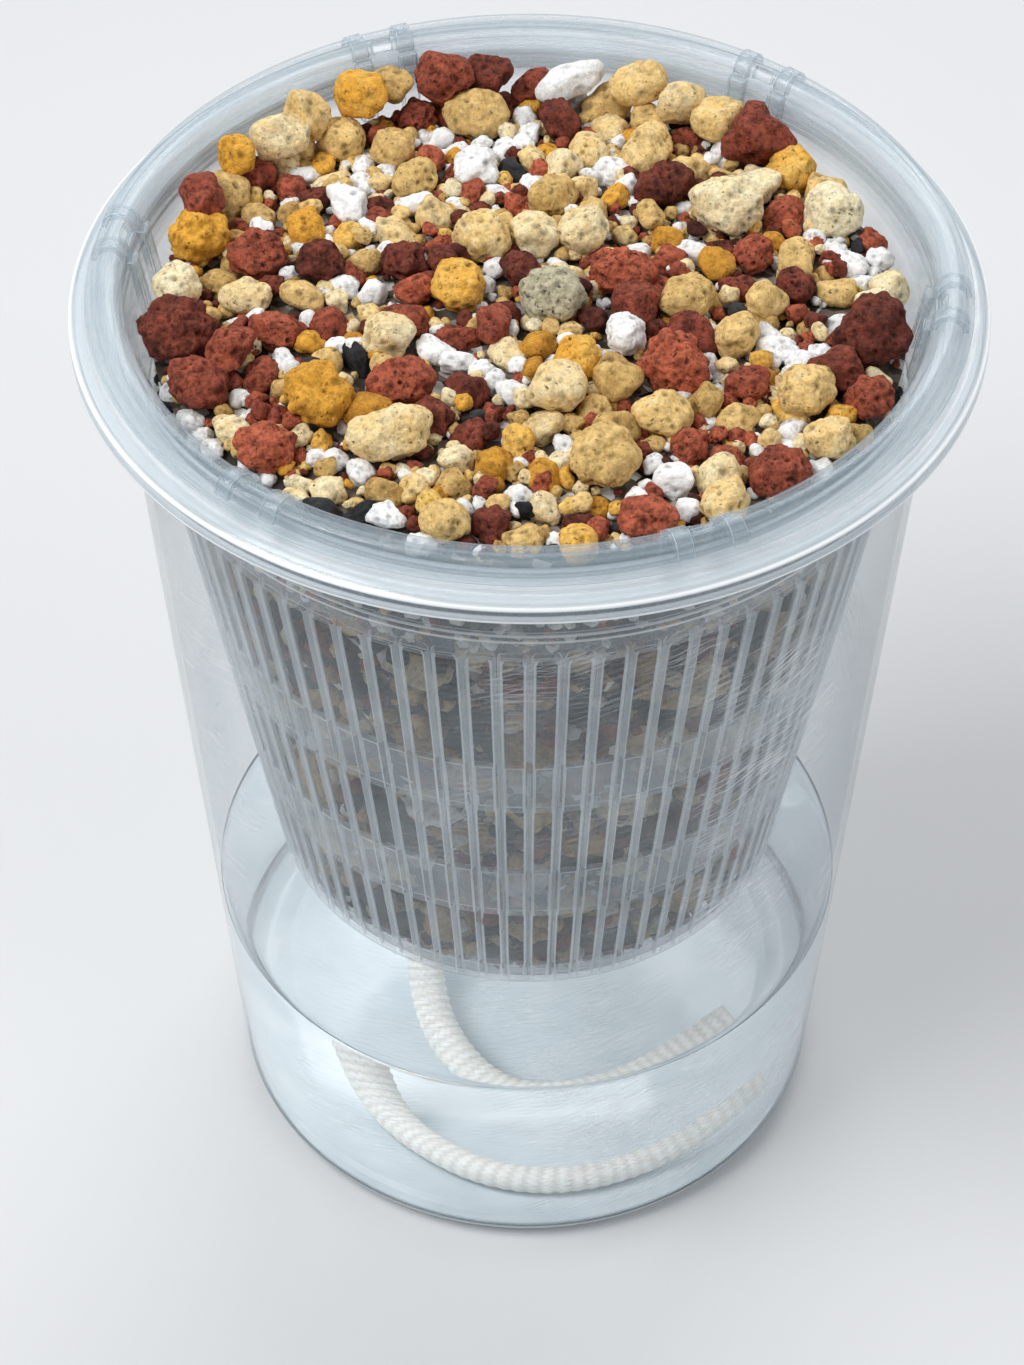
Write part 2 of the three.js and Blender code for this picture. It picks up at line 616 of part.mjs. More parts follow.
const insert = new THREE.Group();
const netCup = makeNetCup();
const stones = makeStones(netCup);
const beddedStones = bedStones([netCup, ...stones.map((stone) => stone.solid)]);
insert.add(toMesh('net_cup', netCup, clearPlastic));
insert.add(toMesh('potting_mix', makeMix(beddedStones), { color: 0x6b6258, roughness: 1 }));
insert.add(toMesh('wick_core', cord(corePoints(0), WICK_DIAMETER, CORE_STEPS), wickLook));
insert.add(toMesh('wick_tail', cord(tailPoints, WICK_DIAMETER, WICK_STEPS), wickLook));
stones.forEach(({ kind, name, solid }) => {
  const { colour, roughness } = STONE_KINDS[kind];
  insert.add(toMesh(name, solid, { color: colour, roughness }));
});

const pot = new THREE.Group();
pot.add(reservoir, insert);

export default pot;
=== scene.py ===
"""Looks of a self-watering pot: clear cups, water, a braided wick, potting mix and loose stones.

Metres, +Z up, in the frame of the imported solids. The camera looks along +Y and down.
"""

import math
import random

import bmesh
import bpy
import numpy as np
from mathutils import Euler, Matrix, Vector, noise
from mathutils.bvhtree import BVHTree


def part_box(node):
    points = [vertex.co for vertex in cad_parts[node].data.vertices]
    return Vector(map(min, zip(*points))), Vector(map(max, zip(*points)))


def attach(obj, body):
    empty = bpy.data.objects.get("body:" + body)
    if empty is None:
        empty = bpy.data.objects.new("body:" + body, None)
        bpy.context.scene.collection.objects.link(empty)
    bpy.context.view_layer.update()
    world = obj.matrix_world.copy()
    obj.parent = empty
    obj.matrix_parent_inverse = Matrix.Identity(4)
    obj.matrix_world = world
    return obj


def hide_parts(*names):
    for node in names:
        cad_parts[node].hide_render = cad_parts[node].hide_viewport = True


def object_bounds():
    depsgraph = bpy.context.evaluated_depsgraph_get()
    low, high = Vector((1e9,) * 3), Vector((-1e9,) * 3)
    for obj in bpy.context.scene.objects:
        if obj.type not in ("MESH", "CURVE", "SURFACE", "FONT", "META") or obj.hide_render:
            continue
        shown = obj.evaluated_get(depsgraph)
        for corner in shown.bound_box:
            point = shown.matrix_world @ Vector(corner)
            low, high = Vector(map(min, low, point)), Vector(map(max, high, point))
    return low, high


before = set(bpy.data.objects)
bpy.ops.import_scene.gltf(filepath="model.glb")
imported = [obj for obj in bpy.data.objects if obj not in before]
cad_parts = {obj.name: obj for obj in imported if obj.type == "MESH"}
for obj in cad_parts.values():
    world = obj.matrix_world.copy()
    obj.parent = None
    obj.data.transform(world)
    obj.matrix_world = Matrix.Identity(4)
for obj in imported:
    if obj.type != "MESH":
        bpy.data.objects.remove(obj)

cad_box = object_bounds()
MM = 0.001
FULL_TURN = 2 * math.pi

# Reservoir cup
rim_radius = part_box("reservoir_cup")[1].x
cup_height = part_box("reservoir_cup")[1].z
CUP_BASE_RADIUS = 43.3 * MM
CUP_MOUTH_RADIUS = 52.8 * MM
CUP_WALL = 0.9 * MM
CUP_CORNER = 4.3 * MM
FOOT_WIDTH = 3 * MM
FOOT_RECESS = 1.2 * MM
SKIRT_DEPTH = 3 * MM
RIM_CHAMFER = 0.8 * MM
RIM_CHAMFER_WIDTH = 1.6 * MM
EDGE_ROUND = 0.25 * MM
CUP_STEPS = 192

# Net cup
net_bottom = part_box("net_cup")[0].z
collar_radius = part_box("net_cup")[1].x
NET_BASE_RADIUS = 36 * MM
NET_WALL = 0.9 * MM
NET_CORNER = 1.5 * MM
NET_FIT_GAP = 0.5 * MM
SEAT_GAP = 0.3 * MM
LIP_RISE = 3.8 * MM
LIP_ROUND = 2.1 * MM
LIP_OFFSET = 2 * MM
BEAD_DROP = 15.2 * MM
BEAD_HEIGHT = 1.4 * MM
BEAD_STAND = 0.5 * MM
SLOTS_ROUND = 72
SLOT_SHARE = 0.6
SLOT_HEIGHTS = [13 * MM, 14.6 * MM, 22.4 * MM]
RING_HEIGHTS = [4.6 * MM, 10.3 * MM, 9.9 * MM]
FLOOR_HOLES = 6
FLOOR_HOLE_RING = 16.1 * MM
FLOOR_HOLE_RADIUS = 3.15 * MM
FLOOR_SLOTS = 24
FLOOR_SLOT_LENGTH = 8.5 * MM
FLOOR_SLOT_WIDTH = 2.2 * MM
FLOOR_SLOT_RING = 27.5 * MM
RIB_PAIRS = 6
RIB_TURN = math.radians(-7.5)
RIB_SPREAD = math.radians(7.2)
RIB_WIDTH = 2.6 * MM
RIB_LENGTH = 9 * MM
RIB_STAND = 0.8 * MM

# Contents
water_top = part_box("water")[1].z
WICK_DIAMETER = 5.5 * MM
WICK_LIE_GAP = 0.35 * MM
CONTENT_GAP = 0.3 * MM
MIX_DROP = 9.6 * MM
MIX_HEAP = 2.4 * MM
MIX_TILT = 1.6 * MM

seat = cup_height + SEAT_GAP
net_top = seat + LIP_RISE
lip_centre = net_top - LIP_ROUND
mix_edge = net_top - MIX_DROP


def cup_outer(z):
    """Outer radius of the reservoir's wall at a height."""
    return CUP_BASE_RADIUS + (CUP_MOUTH_RADIUS - CUP_BASE_RADIUS) * z / (cup_height - CUP_WALL)


net_mouth = cup_outer(cup_height) - CUP_WALL - NET_FIT_GAP
net_slope = (net_mouth - NET_BASE_RADIUS) / (seat - net_bottom)


def net_outer(z):
    """Outer radius of the net cup's wall at a height."""
    return NET_BASE_RADIUS + net_slope * (z - net_bottom)


def net_inner(z):
    """Inner radius of the net cup's wall at a height."""
    return net_outer(z) - NET_WALL


mix_radius = net_inner(mix_edge) - RIB_STAND - 2 * CONTENT_GAP


def mix_top(x, y):
    """Height of the potting mix, heaped in the middle and lower at the back."""
    share = np.hypot(x, y) / mix_radius
    return mix_edge + MIX_HEAP * (1 - share * share) - MIX_TILT * y / mix_radius


# Node materials


def node(tree, kind, values=None, **settings):
    """A shader node with its settings, and its inputs set to values or linked to sockets."""
    made = tree.nodes.new("ShaderNode" + kind)
    for key, value in settings.items():
        setattr(made, key, value)
    for key, value in (values or {}).items():
        if isinstance(value, bpy.types.NodeSocket):
            tree.links.new(value, made.inputs[key])
        else:
            made.inputs[key].default_value = value
    return made


def principled(name, values):
    """A new material, its tree, and its shader with plain values set on its own sockets."""
    made = bpy.data.materials.new(name)
    made.use_nodes = True
    shader = made.node_tree.nodes["Principled BSDF"]
    for key, value in values.items():
        shader.inputs[key].default_value = value
    return made, made.node_tree, shader


def place(tree):
    """Object coordinates in metres."""
    return node(tree, "TexCoord").outputs["Object"]


def cloud(tree, scale, detail=4, rough=0.6, where=None):
    """Noise between 0 and 1, its scale in features per metre."""
    values = {"Vector": where or place(tree), "Scale": scale, "Detail": detail, "Roughness": rough}
    return node(tree, "TexNoise", values).outputs["Fac"]


def ramp(tree, source, stops):
    """A colour ramp through (position, colour) stops."""
    made = node(tree, "ValToRGB", {"Fac": source})
    stretch = made.color_ramp.elements
    while len(stretch) < len(stops):
        stretch.new(0.5)
    for element, (position, colour) in zip(stretch, stops):
        element.position = position
        element.color = (*colour, 1)
    return made.outputs["Color"]


def levels(tree, source, low, high, to_low=0, to_high=1):
    """A value stretched from low..high to another range, and held within it."""
    values = {"Value": source, "From Min": low, "From Max": high, "To Min": to_low, "To Max": to_high}
    return node(tree, "MapRange", values).outputs[0]


def maths(tree, operation, *values):
    """Values taken together by an operation, from the first to the last."""
    result = values[0]
    for value in values[1:]:
        result = node(tree, "Math", {0: result, 1: value}, operation=operation).outputs[0]
    return result


def blend(tree, factor, a, b):
    """Two colours mixed by a factor."""
    a, b = [c if isinstance(c, bpy.types.NodeSocket) else (*c, 1) for c in (a, b)]
    return node(tree, "Mix", {0: factor, 6: a, 7: b}, data_type="RGBA").outputs[2]


def relief(tree, shader, height, distance, strength=1.0):
    """Bump on a shader's normal from a height."""
    made = node(tree, "Bump", {"Height": height, "Distance": distance, "Strength": strength})
    tree.links.new(made.outputs["Normal"], shader.inputs["Normal"])


def mix_surface(tree, factor, shader, other):
    """Gives a material's surface to its shader and another one, by a factor."""
    both = node(tree, "MixShader", {0: factor, 1: shader.outputs[0], 2: other}).outputs[0]
    tree.links.new(both, tree.nodes["Material Output"].inputs["Surface"])


# Clear plastic: scales in features per metre, places where its looks change, densities and tints, with
# painted highlight lines along edges

MIST_SCALE = 70
SCUFF_SCALE = 34
TURNED_SCALE = 1500
FOG_BEGINS = (42 * MM, 60 * MM)
FOG_ENDS = (seat - 20 * MM, seat - 36 * MM)
COLLAR_BAND = (seat - 4 * MM, seat - 3.4 * MM)
BASE_BAND = (3.4 * MM, 2.4 * MM)
# Painted highlight lines along edges: none past the first distance from an edge, full within the second
HIGHLIGHT_BAND = (0.35 * MM, 0.15 * MM)
SCUFF_SIDE = (-10 * MM, 32 * MM)
SCUFF_SIDE_SHARES = (0.6, 1.2)
SCUFF_TOP = (seat - 18 * MM, seat - 10 * MM)
# Each set's angle to the rings, length and width, and the noise levels between which a scratch shows
SCRATCH_SETS = [(0.05, 9 * MM, 0.28 * MM), (0.38, 12 * MM, 0.34 * MM)]
SCRATCH_LEVELS = (0.57, 0.66)
EDGE_BLEND = 0.35
EDGE_POWER = 2.6
EDGE_DENSITY = 0.6
# Density that the painted highlight lines add
HIGHLIGHT_DENSITY = 0.5
COLLAR_DENSITY = 0.14
TURNED_DENSITY = 0.22
DENSEST = 0.94
CLEAR_TINTS = [(0.3, (0.60, 0.68, 0.73)), (0.7, (0.72, 0.78, 0.82))]
# Tint at grazing angles: partly the longer path through the plastic, partly painted shade for the darker
# surroundings seen through it
EDGE_TINT_AND_SHADE = (0.46, 0.53, 0.58)
COLLAR_TINTS = [(0.34, 0.43, 0.49), (0.50, 0.59, 0.65)]
# Colour of the scratches, and of the painted highlight lines along edges
SCRATCH_AND_HIGHLIGHT_TINT = (0.9, 0.93, 0.95)
PLASTIC_ROUGHNESS = (0.06, 0.16)


def scratches(tree, axes, turn, length, width):
    """Fine straight marks, 0 to 1, on the wall as if it were unrolled, at an angle to its rings."""
    bearing = maths(tree, "ARCTAN2", axes["X"], maths(tree, "MULTIPLY", axes["Y"], -1))
    along = maths(tree, "MULTIPLY", bearing, CUP_MOUTH_RADIUS)
    unrolled = node(tree, "CombineXYZ", {"X": along, "Y": axes["Z"]}).outputs[0]
    values = {"Vector": unrolled, "Rotation": (0, 0, turn), "Scale": (length, width, 1)}
    stretched = node(tree, "Mapping", values, vector_type="TEXTURE").outputs[0]
    return levels(tree, cloud(tree, 1, 2, 0.5, stretched), *SCRATCH_LEVELS)


def clear_plastic(name, clear, haze, fog, scuffs=0, turned=0, base=0, heights=(), radii=()):
    """Clear plastic, seen through by its alpha: cloudy, scuffed, and foggy where hands hold it.

    It is denser at edges and base, and its tint darkens at grazing angles, partly from the longer path
    through the plastic and partly as painted shade.
    Painted highlights show as bright lines along edges at given heights and radii, and fine turned lines
    run round the collar.
    """
    made, tree, shader = principled(name, {"IOR": 1.5, "Specular IOR Level": 0.75})
    where = place(tree)
    mist = cloud(tree, MIST_SCALE, 3, 0.6, where)
    axes = node(tree, "SeparateXYZ", {"Vector": where}).outputs
    level = node(tree, "CombineXYZ", {"X": axes["X"], "Y": axes["Y"]}).outputs[0]
    radius = node(tree, "VectorMath", {0: level}, operation="LENGTH").outputs["Value"]
    section = node(tree, "CombineXYZ", {"X": radius, "Y": axes["Z"]}).outputs[0]
    collar = levels(tree, axes["Z"], *COLLAR_BAND)
    rings = levels(tree, cloud(tree, TURNED_SCALE, 2, 0.5, section), 0.42, 0.6)
    lines = levels(tree, rings, 0, 1, COLLAR_DENSITY, COLLAR_DENSITY + TURNED_DENSITY * turned)
    held = maths(tree, "MULTIPLY", levels(tree, axes["Z"], *FOG_BEGINS), levels(tree, axes["Z"], *FOG_ENDS))
    patch = maths(
        tree, "MULTIPLY",
        levels(tree, cloud(tree, SCUFF_SCALE, 2, 0.6, where), 0.40, 0.60),
        levels(tree, axes["X"], *SCUFF_SIDE, *SCUFF_SIDE_SHARES),
        levels(tree, axes["Z"], *SCUFF_TOP, 1, 0),
        levels(tree, axes["Z"], CUP_CORNER, 2 * CUP_CORNER))
    marks = maths(tree, "MAXIMUM", *[scratches(tree, axes, *values) for values in SCRATCH_SETS])
    marks = maths(tree, "MULTIPLY", marks, patch)
    facing = node(tree, "LayerWeight", {"Blend": EDGE_BLEND}).outputs["Facing"]
    edge = maths(tree, "POWER", facing, EDGE_POWER)
    # Painted highlights: lines along the edges at the given heights and radii
    highlight_edges = [(axes["Z"], z) for z in heights] + [(radius, r) for r in radii]
    away = [maths(tree, "ABSOLUTE", maths(tree, "SUBTRACT", *pair), 0) for pair in highlight_edges]
    highlight_bands = [levels(tree, gap, *HIGHLIGHT_BAND) for gap in away]
    # Real scratches, and the painted highlight lines
    bright = maths(tree, "MAXIMUM", marks, *highlight_bands)
    alpha = maths(
        tree, "ADD",
        levels(tree, mist, 0.3, 0.75, clear, clear + haze),
        maths(tree, "MULTIPLY", levels(tree, mist, 0.3, 0.7, 0.5 * fog, 1.5 * fog), held),
        maths(tree, "MULTIPLY", lines, collar),
        maths(tree, "MULTIPLY", edge, EDGE_DENSITY),
        maths(tree, "MULTIPLY", marks, scuffs),
        levels(tree, axes["Z"], *BASE_BAND, 0, base),
        *[maths(tree, "MULTIPLY", band, HIGHLIGHT_DENSITY) for band in highlight_bands])
    tree.links.new(levels(tree, alpha, 0, DENSEST, 0, DENSEST), shader.inputs["Alpha"])
    # Darker at grazing angles: partly the plastic's depth, partly painted shade
    tint = blend(tree, edge, ramp(tree, mist, CLEAR_TINTS), EDGE_TINT_AND_SHADE)
    tint = blend(tree, collar, tint, blend(tree, rings, *COLLAR_TINTS))
    # Scratches and painted highlight lines take the bright tint
    tree.links.new(blend(tree, bright, tint, SCRATCH_AND_HIGHLIGHT_TINT), shader.inputs["Base Color"])
    tree.links.new(levels(tree, mist, 0.3, 0.7, *PLASTIC_ROUGHNESS), shader.inputs["Roughness"])
    return made


def still_water():
    """Clear water that bends light and lets the lamps through to what lies in it."""
    values = {"Base Color": (0.95, 0.985, 1.0, 1), "Roughness": 0.0, "IOR": 1.333}
    made, tree, shader = principled("still_water", {**values, "Transmission Weight": 1.0})
    relief(tree, shader, cloud(tree, 45, 1), 0.15 * MM, 0.1)
    lamps = node(tree, "LightPath").outputs["Is Shadow Ray"]
    mix_surface(tree, lamps, shader, node(tree, "BsdfTransparent").outputs[0])
    return made


def wick_cotton():
    """Soft white cotton, greyer in the grooves of its braid as painted shade."""
    values = {"Roughness": 0.9, "Sheen Weight": 0.3, "Subsurface Weight": 0.15, "Subsurface Scale": 1 * MM}
    made, tree, shader = principled("wick_cotton", values)
    groove_shade = node(tree, "Attribute", attribute_name="pit").outputs["Fac"]
    cotton_tone = ramp(tree, cloud(tree, 600, 4), [(0.3, (0.76, 0.75, 0.71)), (0.7, (0.88, 0.88, 0.85))])
    # Painted shade: greyer where the braid's grooves lie deep
    colour = blend(tree, levels(tree, groove_shade, 0.3, 1), cotton_tone, (0.66, 0.65, 0.61))
    tree.links.new(colour, shader.inputs["Base Color"])
    relief(tree, shader, cloud(tree, 4200, 2), 0.12 * MM, 0.6)
    return made


# Stone: scales in features per metre, how far its tone wanders, shades of its fine grain, and painted shade
# in its pits

TONE_SCALE = 380
TONE_WANDER = 0.26
FINE_SCALE = 2400
FINE_SHADES = (0.8, 1.14)
COARSE_SCALE = 1100
# Painted shade at the bottom of a pit
PIT_SHADE = 0.26


def stone(name, damp, tones, spots, spot_size, spot_share, grain, crevice_shade):
    """Matt porous stone. The tone attribute picks its colour, and spots stain it.

    Painted shade darkens its crevices and pits, and damp darkens it all.
    """
    made, tree, shader = principled(name, {"Specular IOR Level": 0.25})
    where = place(tree)
    tone = node(tree, "Attribute", attribute_name="tone").outputs["Fac"]
    wander = levels(tree, cloud(tree, TONE_SCALE, 5, 0.65, where), 0.25, 0.75, -TONE_WANDER, TONE_WANDER)
    colour = ramp(tree, maths(tree, "ADD", tone, wander), tones)
    stain = levels(tree, cloud(tree, 1 / spot_size, 4, 0.7, where), 1 - spot_share, 1 - spot_share + 0.08)
    colour = blend(tree, stain, colour, spots)
    fine = cloud(tree, FINE_SCALE, 4, 0.7, where)
    pit = node(tree, "Attribute", attribute_name="pit").outputs["Fac"]
    coarse = cloud(tree, COARSE_SCALE, 5, 0.7, where)
    # Fine grain, then painted shade in the pits and in the crevices where the coarse relief is low
    shade = maths(
        tree, "MULTIPLY",
        levels(tree, fine, 0.3, 0.7, *[share * damp for share in FINE_SHADES]),
        levels(tree, pit, 0, 1, 1, PIT_SHADE),
        levels(tree, coarse, 0.34, 0.56, crevice_shade, 1.1))
    shaded = node(tree, "VectorMath", {0: colour, 1: shade}, operation="MULTIPLY").outputs[0]
    tree.links.new(shaded, shader.inputs["Base Color"])
    tree.links.new(levels(tree, fine, 0.3, 0.7, 0.98, 0.78), shader.inputs["Roughness"])
    height = maths(tree, "ADD", coarse, maths(tree, "MULTIPLY", fine, 0.4))
    relief(tree, shader, height, grain, 0.9)
    return made


def gritty_mix():
    """Fine dark potting mix with pale and brown crumbs."""
    made, tree, shader = principled("gritty_mix", {"Roughness": 0.95, "Specular IOR Level": 0.2})
    crumbs = node(tree, "TexVoronoi", {"Vector": place(tree), "Scale": 620.0})
    crumb = node(tree, "SeparateColor", {"Color": crumbs.outputs["Color"]}).outputs[0]
    stops = [(0.0, (0.03, 0.026, 0.023)), (0.35, (0.085, 0.07, 0.058)), (0.6, (0.18, 0.14, 0.11)),
             (0.8, (0.30, 0.27, 0.23)), (0.93, (0.68, 0.67, 0.64))]
    tree.links.new(ramp(tree, crumb, stops), shader.inputs["Base Color"])
    relief(tree, shader, crumbs.outputs["Distance"], 0.9 * MM, 1.0)
    return made


# Painted highlight lines run along the cup's skirt foot and its rim chamfer
cup_plastic = clear_plastic(
    "cup_plastic", clear=0.03, haze=0.04, fog=0.04, scuffs=0.34, turned=1.0, base=0.85,
    heights=[cup_height - SKIRT_DEPTH + 0.2 * MM, cup_height - RIM_CHAMFER])
# Painted highlight lines run along the net's bead and the edge of its collar
net_plastic = clear_plastic(
    "net_plastic", clear=0.04, haze=0.05, fog=0.06, scuffs=0.05, turned=0.2,
    heights=[seat - BEAD_DROP], radii=[collar_radius])
# Denser plastic on the rounded edges of the net and its ribs: painted highlight lines
net_edge_highlight = clear_plastic("net_edge_highlight", clear=0.42, haze=0.16, fog=0.1)
water_look = still_water()
wick_look = wick_cotton()
mix_look = gritty_mix()
DAMP = 0.48
STONE_KINDS = {
    # kind: tones from dark to light, spot colour, size and share, depth of the grain, painted shade of
    # crevices
    "red_lava": ([(0.0, (0.08, 0.021, 0.014)), (0.45, (0.31, 0.072, 0.042)), (1.0, (0.60, 0.15, 0.075))],
                 (0.04, 0.011, 0.009), 0.9 * MM, 0.41, 0.9 * MM, 0.26),
    "tan_pumice": ([(0.0, (0.50, 0.31, 0.10)), (0.5, (0.84, 0.58, 0.23)), (1.0, (0.92, 0.82, 0.55))],
                   (0.15, 0.085, 0.028), 0.75 * MM, 0.4, 0.55 * MM, 0.7),
    "ochre_pumice": ([(0.0, (0.48, 0.22, 0.03)), (0.5, (0.80, 0.40, 0.05)), (1.0, (0.88, 0.60, 0.18))],
                     (0.2, 0.08, 0.015), 0.9 * MM, 0.41, 0.55 * MM, 0.66),
    "grey_gravel": ([(0.0, (0.32, 0.29, 0.18)), (0.5, (0.56, 0.51, 0.35)), (1.0, (0.72, 0.68, 0.52))],
                    (0.09, 0.08, 0.05), 0.9 * MM, 0.43, 0.6 * MM, 0.55),
    "white_perlite": ([(0.0, (0.74, 0.74, 0.72)), (0.5, (0.82, 0.82, 0.81)), (1.0, (0.88, 0.88, 0.87))],
                      (0.66, 0.65, 0.62), 1.5 * MM, 0.36, 0.3 * MM, 0.86),
    "charcoal": ([(0.0, (0.012, 0.012, 0.014)), (0.5, (0.025, 0.025, 0.028)), (1.0, (0.05, 0.05, 0.055))],
                 (0.08, 0.08, 0.085), 2.0 * MM, 0.3, 0.4 * MM, 0.6),
}
STONE_LOOKS = {kind: stone(kind, 1, *values) for kind, values in STONE_KINDS.items()}
DAMP_LOOKS = {kind: stone("damp_" + kind, DAMP, *values) for kind, values in STONE_KINDS.items()}
SLOT_OF_KIND = {kind: "potting_mix" if kind == "charcoal" else kind for kind in STONE_LOOKS}


# Mesh helpers


def add_piece(name, verts, faces, look, body, slot):
    """A new smooth mesh piece that rides on a body."""
    data = bpy.data.meshes.new(name)
    data.from_pydata(verts, [], faces)
    data.validate()
    data.materials.append(look)
    data.polygons.foreach_set("use_smooth", [True] * len(data.polygons))
    made = bpy.data.objects.new(name, data)
    bpy.context.scene.collection.objects.link(made)
    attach(made, body)
    return made


def add_values(piece, name, values):
    """A number for each vertex, which the piece's material reads by name."""
    layer = piece.data.attributes.new(name, "FLOAT", "POINT")
    layer.data.foreach_set("value", np.asarray(values, np.float32))


def at_bearing(bearing, x, y=0.0):
    """A level place, turned by a bearing about the axis."""
    c, s = math.cos(bearing), math.sin(bearing)
    return x * c - y * s, x * s + y * c


def tube_faces(rings, sides):
    """Faces of a tube closed at both ends, whose vertices go ring by ring."""
    faces = []
    for low in range(0, (rings - 1) * sides, sides):
        high = low + sides
        for i in range(sides):
            j = (i + 1) % sides
            faces.append((low + i, low + j, high + j, high + i))
    last = (rings - 1) * sides
    return [*faces, list(range(sides))[::-1], list(range(last, last + sides))]


def arc(centre_r, centre_z, radius, start, end, steps):
    """Points of an arc in the plane of radius and height, from one angle in degrees to another."""
    angles = [math.radians(start + (end - start) * i / steps) for i in range(steps + 1)]
    return [(centre_r + radius * math.cos(a), centre_z + radius * math.sin(a)) for a in angles]


def rounded(outline, radius, steps=3):
    """The outline with the corners between its ends rounded off, as far as its edges leave room."""
    points = [Vector(p) for p in outline]
    result = [points[0]]
    for before, corner, after in zip(points, points[1:], points[2:]):
        start = corner + (before - corner).normalized() * min(radius, 0.45 * (before - corner).length)
        end = corner + (after - corner).normalized() * min(radius, 0.45 * (after - corner).length)
        for i in range(steps + 1):
            t = i / steps
            result.append(start * (1 - t) ** 2 + corner * 2 * t * (1 - t) + end * t * t)
    result.append(points[-1])
    return result


def revolve(outline, steps):
    """Vertices and faces of an outline of (radius, height) turned about the axis."""
    verts, rows, faces = [], [], []
    for r, z in outline:
        first = len(verts)
        if r < 1e-7:
            verts.append((0, 0, z))
            rows.append([first] * steps)
            continue
        for i in range(steps):
            verts.append((*at_bearing(FULL_TURN * i / steps, r), z))
        rows.append(list(range(first, first + steps)))
    for low, high in zip(rows, rows[1:]):
        for i in range(steps):
            j = (i + 1) % steps
            faces.append(list(dict.fromkeys([low[i], low[j], high[j], high[i]])))
    return verts, faces


# Camera: the photograph's own place, 45 degrees above the pot

CAMERA_PLACE = (-2.2 * MM, -348.6 * MM, 425.1 * MM)
CAMERA_DOWN = math.radians(45.29)
IMAGE_HEIGHT = 1365
FOCAL_PIXELS = 3500
SENSOR = 36

lens = bpy.data.cameras.new("camera")
lens.sensor_width = SENSOR
lens.lens = SENSOR * FOCAL_PIXELS / IMAGE_HEIGHT
camera = bpy.data.objects.new("camera", lens)
camera.location = CAMERA_PLACE
camera.rotation_euler = (math.pi / 2 - CAMERA_DOWN, 0, 0)
bpy.context.scene.collection.objects.link(camera)
bpy.context.scene.camera = camera


# Wick: hangs from its hole in the net cup's floor, then lies round the reservoir's floor.
# x and y in mm from the hole's centre, and height as a share of the drop from the hole to the floor

WICK_ROUTE = [
    (0, 0, 1), (0, 0, 0.869), (0, 0, 0.726), (0, -0.1, 0.571), (0, -0.5, 0.42), (0.1, -1.9, 0.274),
    (0.3, -4.9, 0.146), (0.8, -9.3, 0.051), (1.7, -14.1, 0.007), (3.2, -18.9, 0), (5.7, -23.7, 0),
    (9.2, -28.1, 0), (13.8, -31.1, 0), (19.2, -32.3, 0), (24.6, -31.5, 0), (29.4, -29.6, 0.003),
    (33.7, -27.5, 0.018), (37.5, -25.2, 0.04), (40.9, -23, 0.062), (44, -20.9, 0.084), (46.6, -19.1, 0.102),
]
WICK_STEPS_PER_POINT = 28
WICK_SIDES = 112
BRAID_STRANDS = 14
BRAID_PITCH = 1.8 * MM
BRAID_DEPTH = 0.08

wick_bearing = RIB_TURN + math.pi
wick_hole = Vector((*at_bearing(wick_bearing, FLOOR_HOLE_RING), 0))
wick_lie = FOOT_RECESS + CUP_WALL + WICK_LIE_GAP + WICK_DIAMETER / 2
wick_drop = net_bottom + NET_WALL - wick_lie


def between(p, q, start, end, t):
    """The place on the line from p to q where t stands between start and end."""
    return p * ((end - t) / (end - start)) + q * ((t - start) / (end - start))


def smooth_path(points, steps):
    """A centripetal Catmull-Rom curve through points, as a list of places."""
    ends = [points[0] * 2 - points[1], *points, points[-1] * 2 - points[-2]]
    path = []
    for p0, p1, p2, p3 in zip(ends, ends[1:], ends[2:], ends[3:]):
        t1 = (p1 - p0).length ** 0.5
        t2 = t1 + (p2 - p1).length ** 0.5
        t3 = t2 + (p3 - p2).length ** 0.5
        for i in range(steps):
            t = t1 + (t2 - t1) * i / steps
            middle = between(p1, p2, t1, t2, t)
            before = between(between(p0, p1, 0, t1, t), middle, 0, t2, t)
            after = between(middle, between(p2, p3, t2, t3, t), t1, t3, t)
            path.append(between(before, after, t1, t2, t))
    path.append(points[-1].copy())
    return path


def braid(along, around):
    """Height of the braid, 0 to 1: strands wind both ways and pass over and under each other."""
    p = BRAID_STRANDS * around / FULL_TURN + along / BRAID_PITCH
    q = BRAID_STRANDS * around / FULL_TURN - along / BRAID_PITCH
    over_p = 0.5 + 0.5 * math.cos(math.pi * (q + math.floor(p)))
    over_q = 0.5 + 0.5 * math.cos(math.pi * (p + math.floor(q) + 1))
    return max(abs(math.sin(math.pi * p)) * over_p, abs(math.sin(math.pi * q)) * over_q)


def make_wick():
    """The braided wick along its route."""
    route = [wick_hole + Vector((x * MM, y * MM, wick_lie + share * wick_drop))
             for x, y, share in WICK_ROUTE]
    path = smooth_path(route, WICK_STEPS_PER_POINT)
    verts, grooves = [], []
    along = 0.0
    side = Vector((1, 0, 0))
    for i, centre in enumerate(path):
        ahead = (path[min(i + 1, len(path) - 1)] - path[max(i - 1, 0)]).normalized()
        side = (side - ahead * side.dot(ahead)).normalized()
        up = ahead.cross(side)
        along += (centre - path[i - 1]).length if i else 0
        for j in range(WICK_SIDES):
            angle = FULL_TURN * j / WICK_SIDES
            low = 1 - braid(along, angle)
            grooves.append(low)
            radius = WICK_DIAMETER / 2 * (1 - BRAID_DEPTH * low)
            verts.append(centre + (side * math.cos(angle) + up * math.sin(angle)) * radius)
    wick = add_piece("wick_braid", verts, tube_faces(len(path), WICK_SIDES), wick_look, "insert", "wick")
    add_values(wick, "pit", grooves)
    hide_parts("wick_tail")


make_wick()
wick_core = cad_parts["wick_core"]
wick_core.data.materials.clear()
wick_core.data.materials.append(wick_look)


# Reservoir cup and water

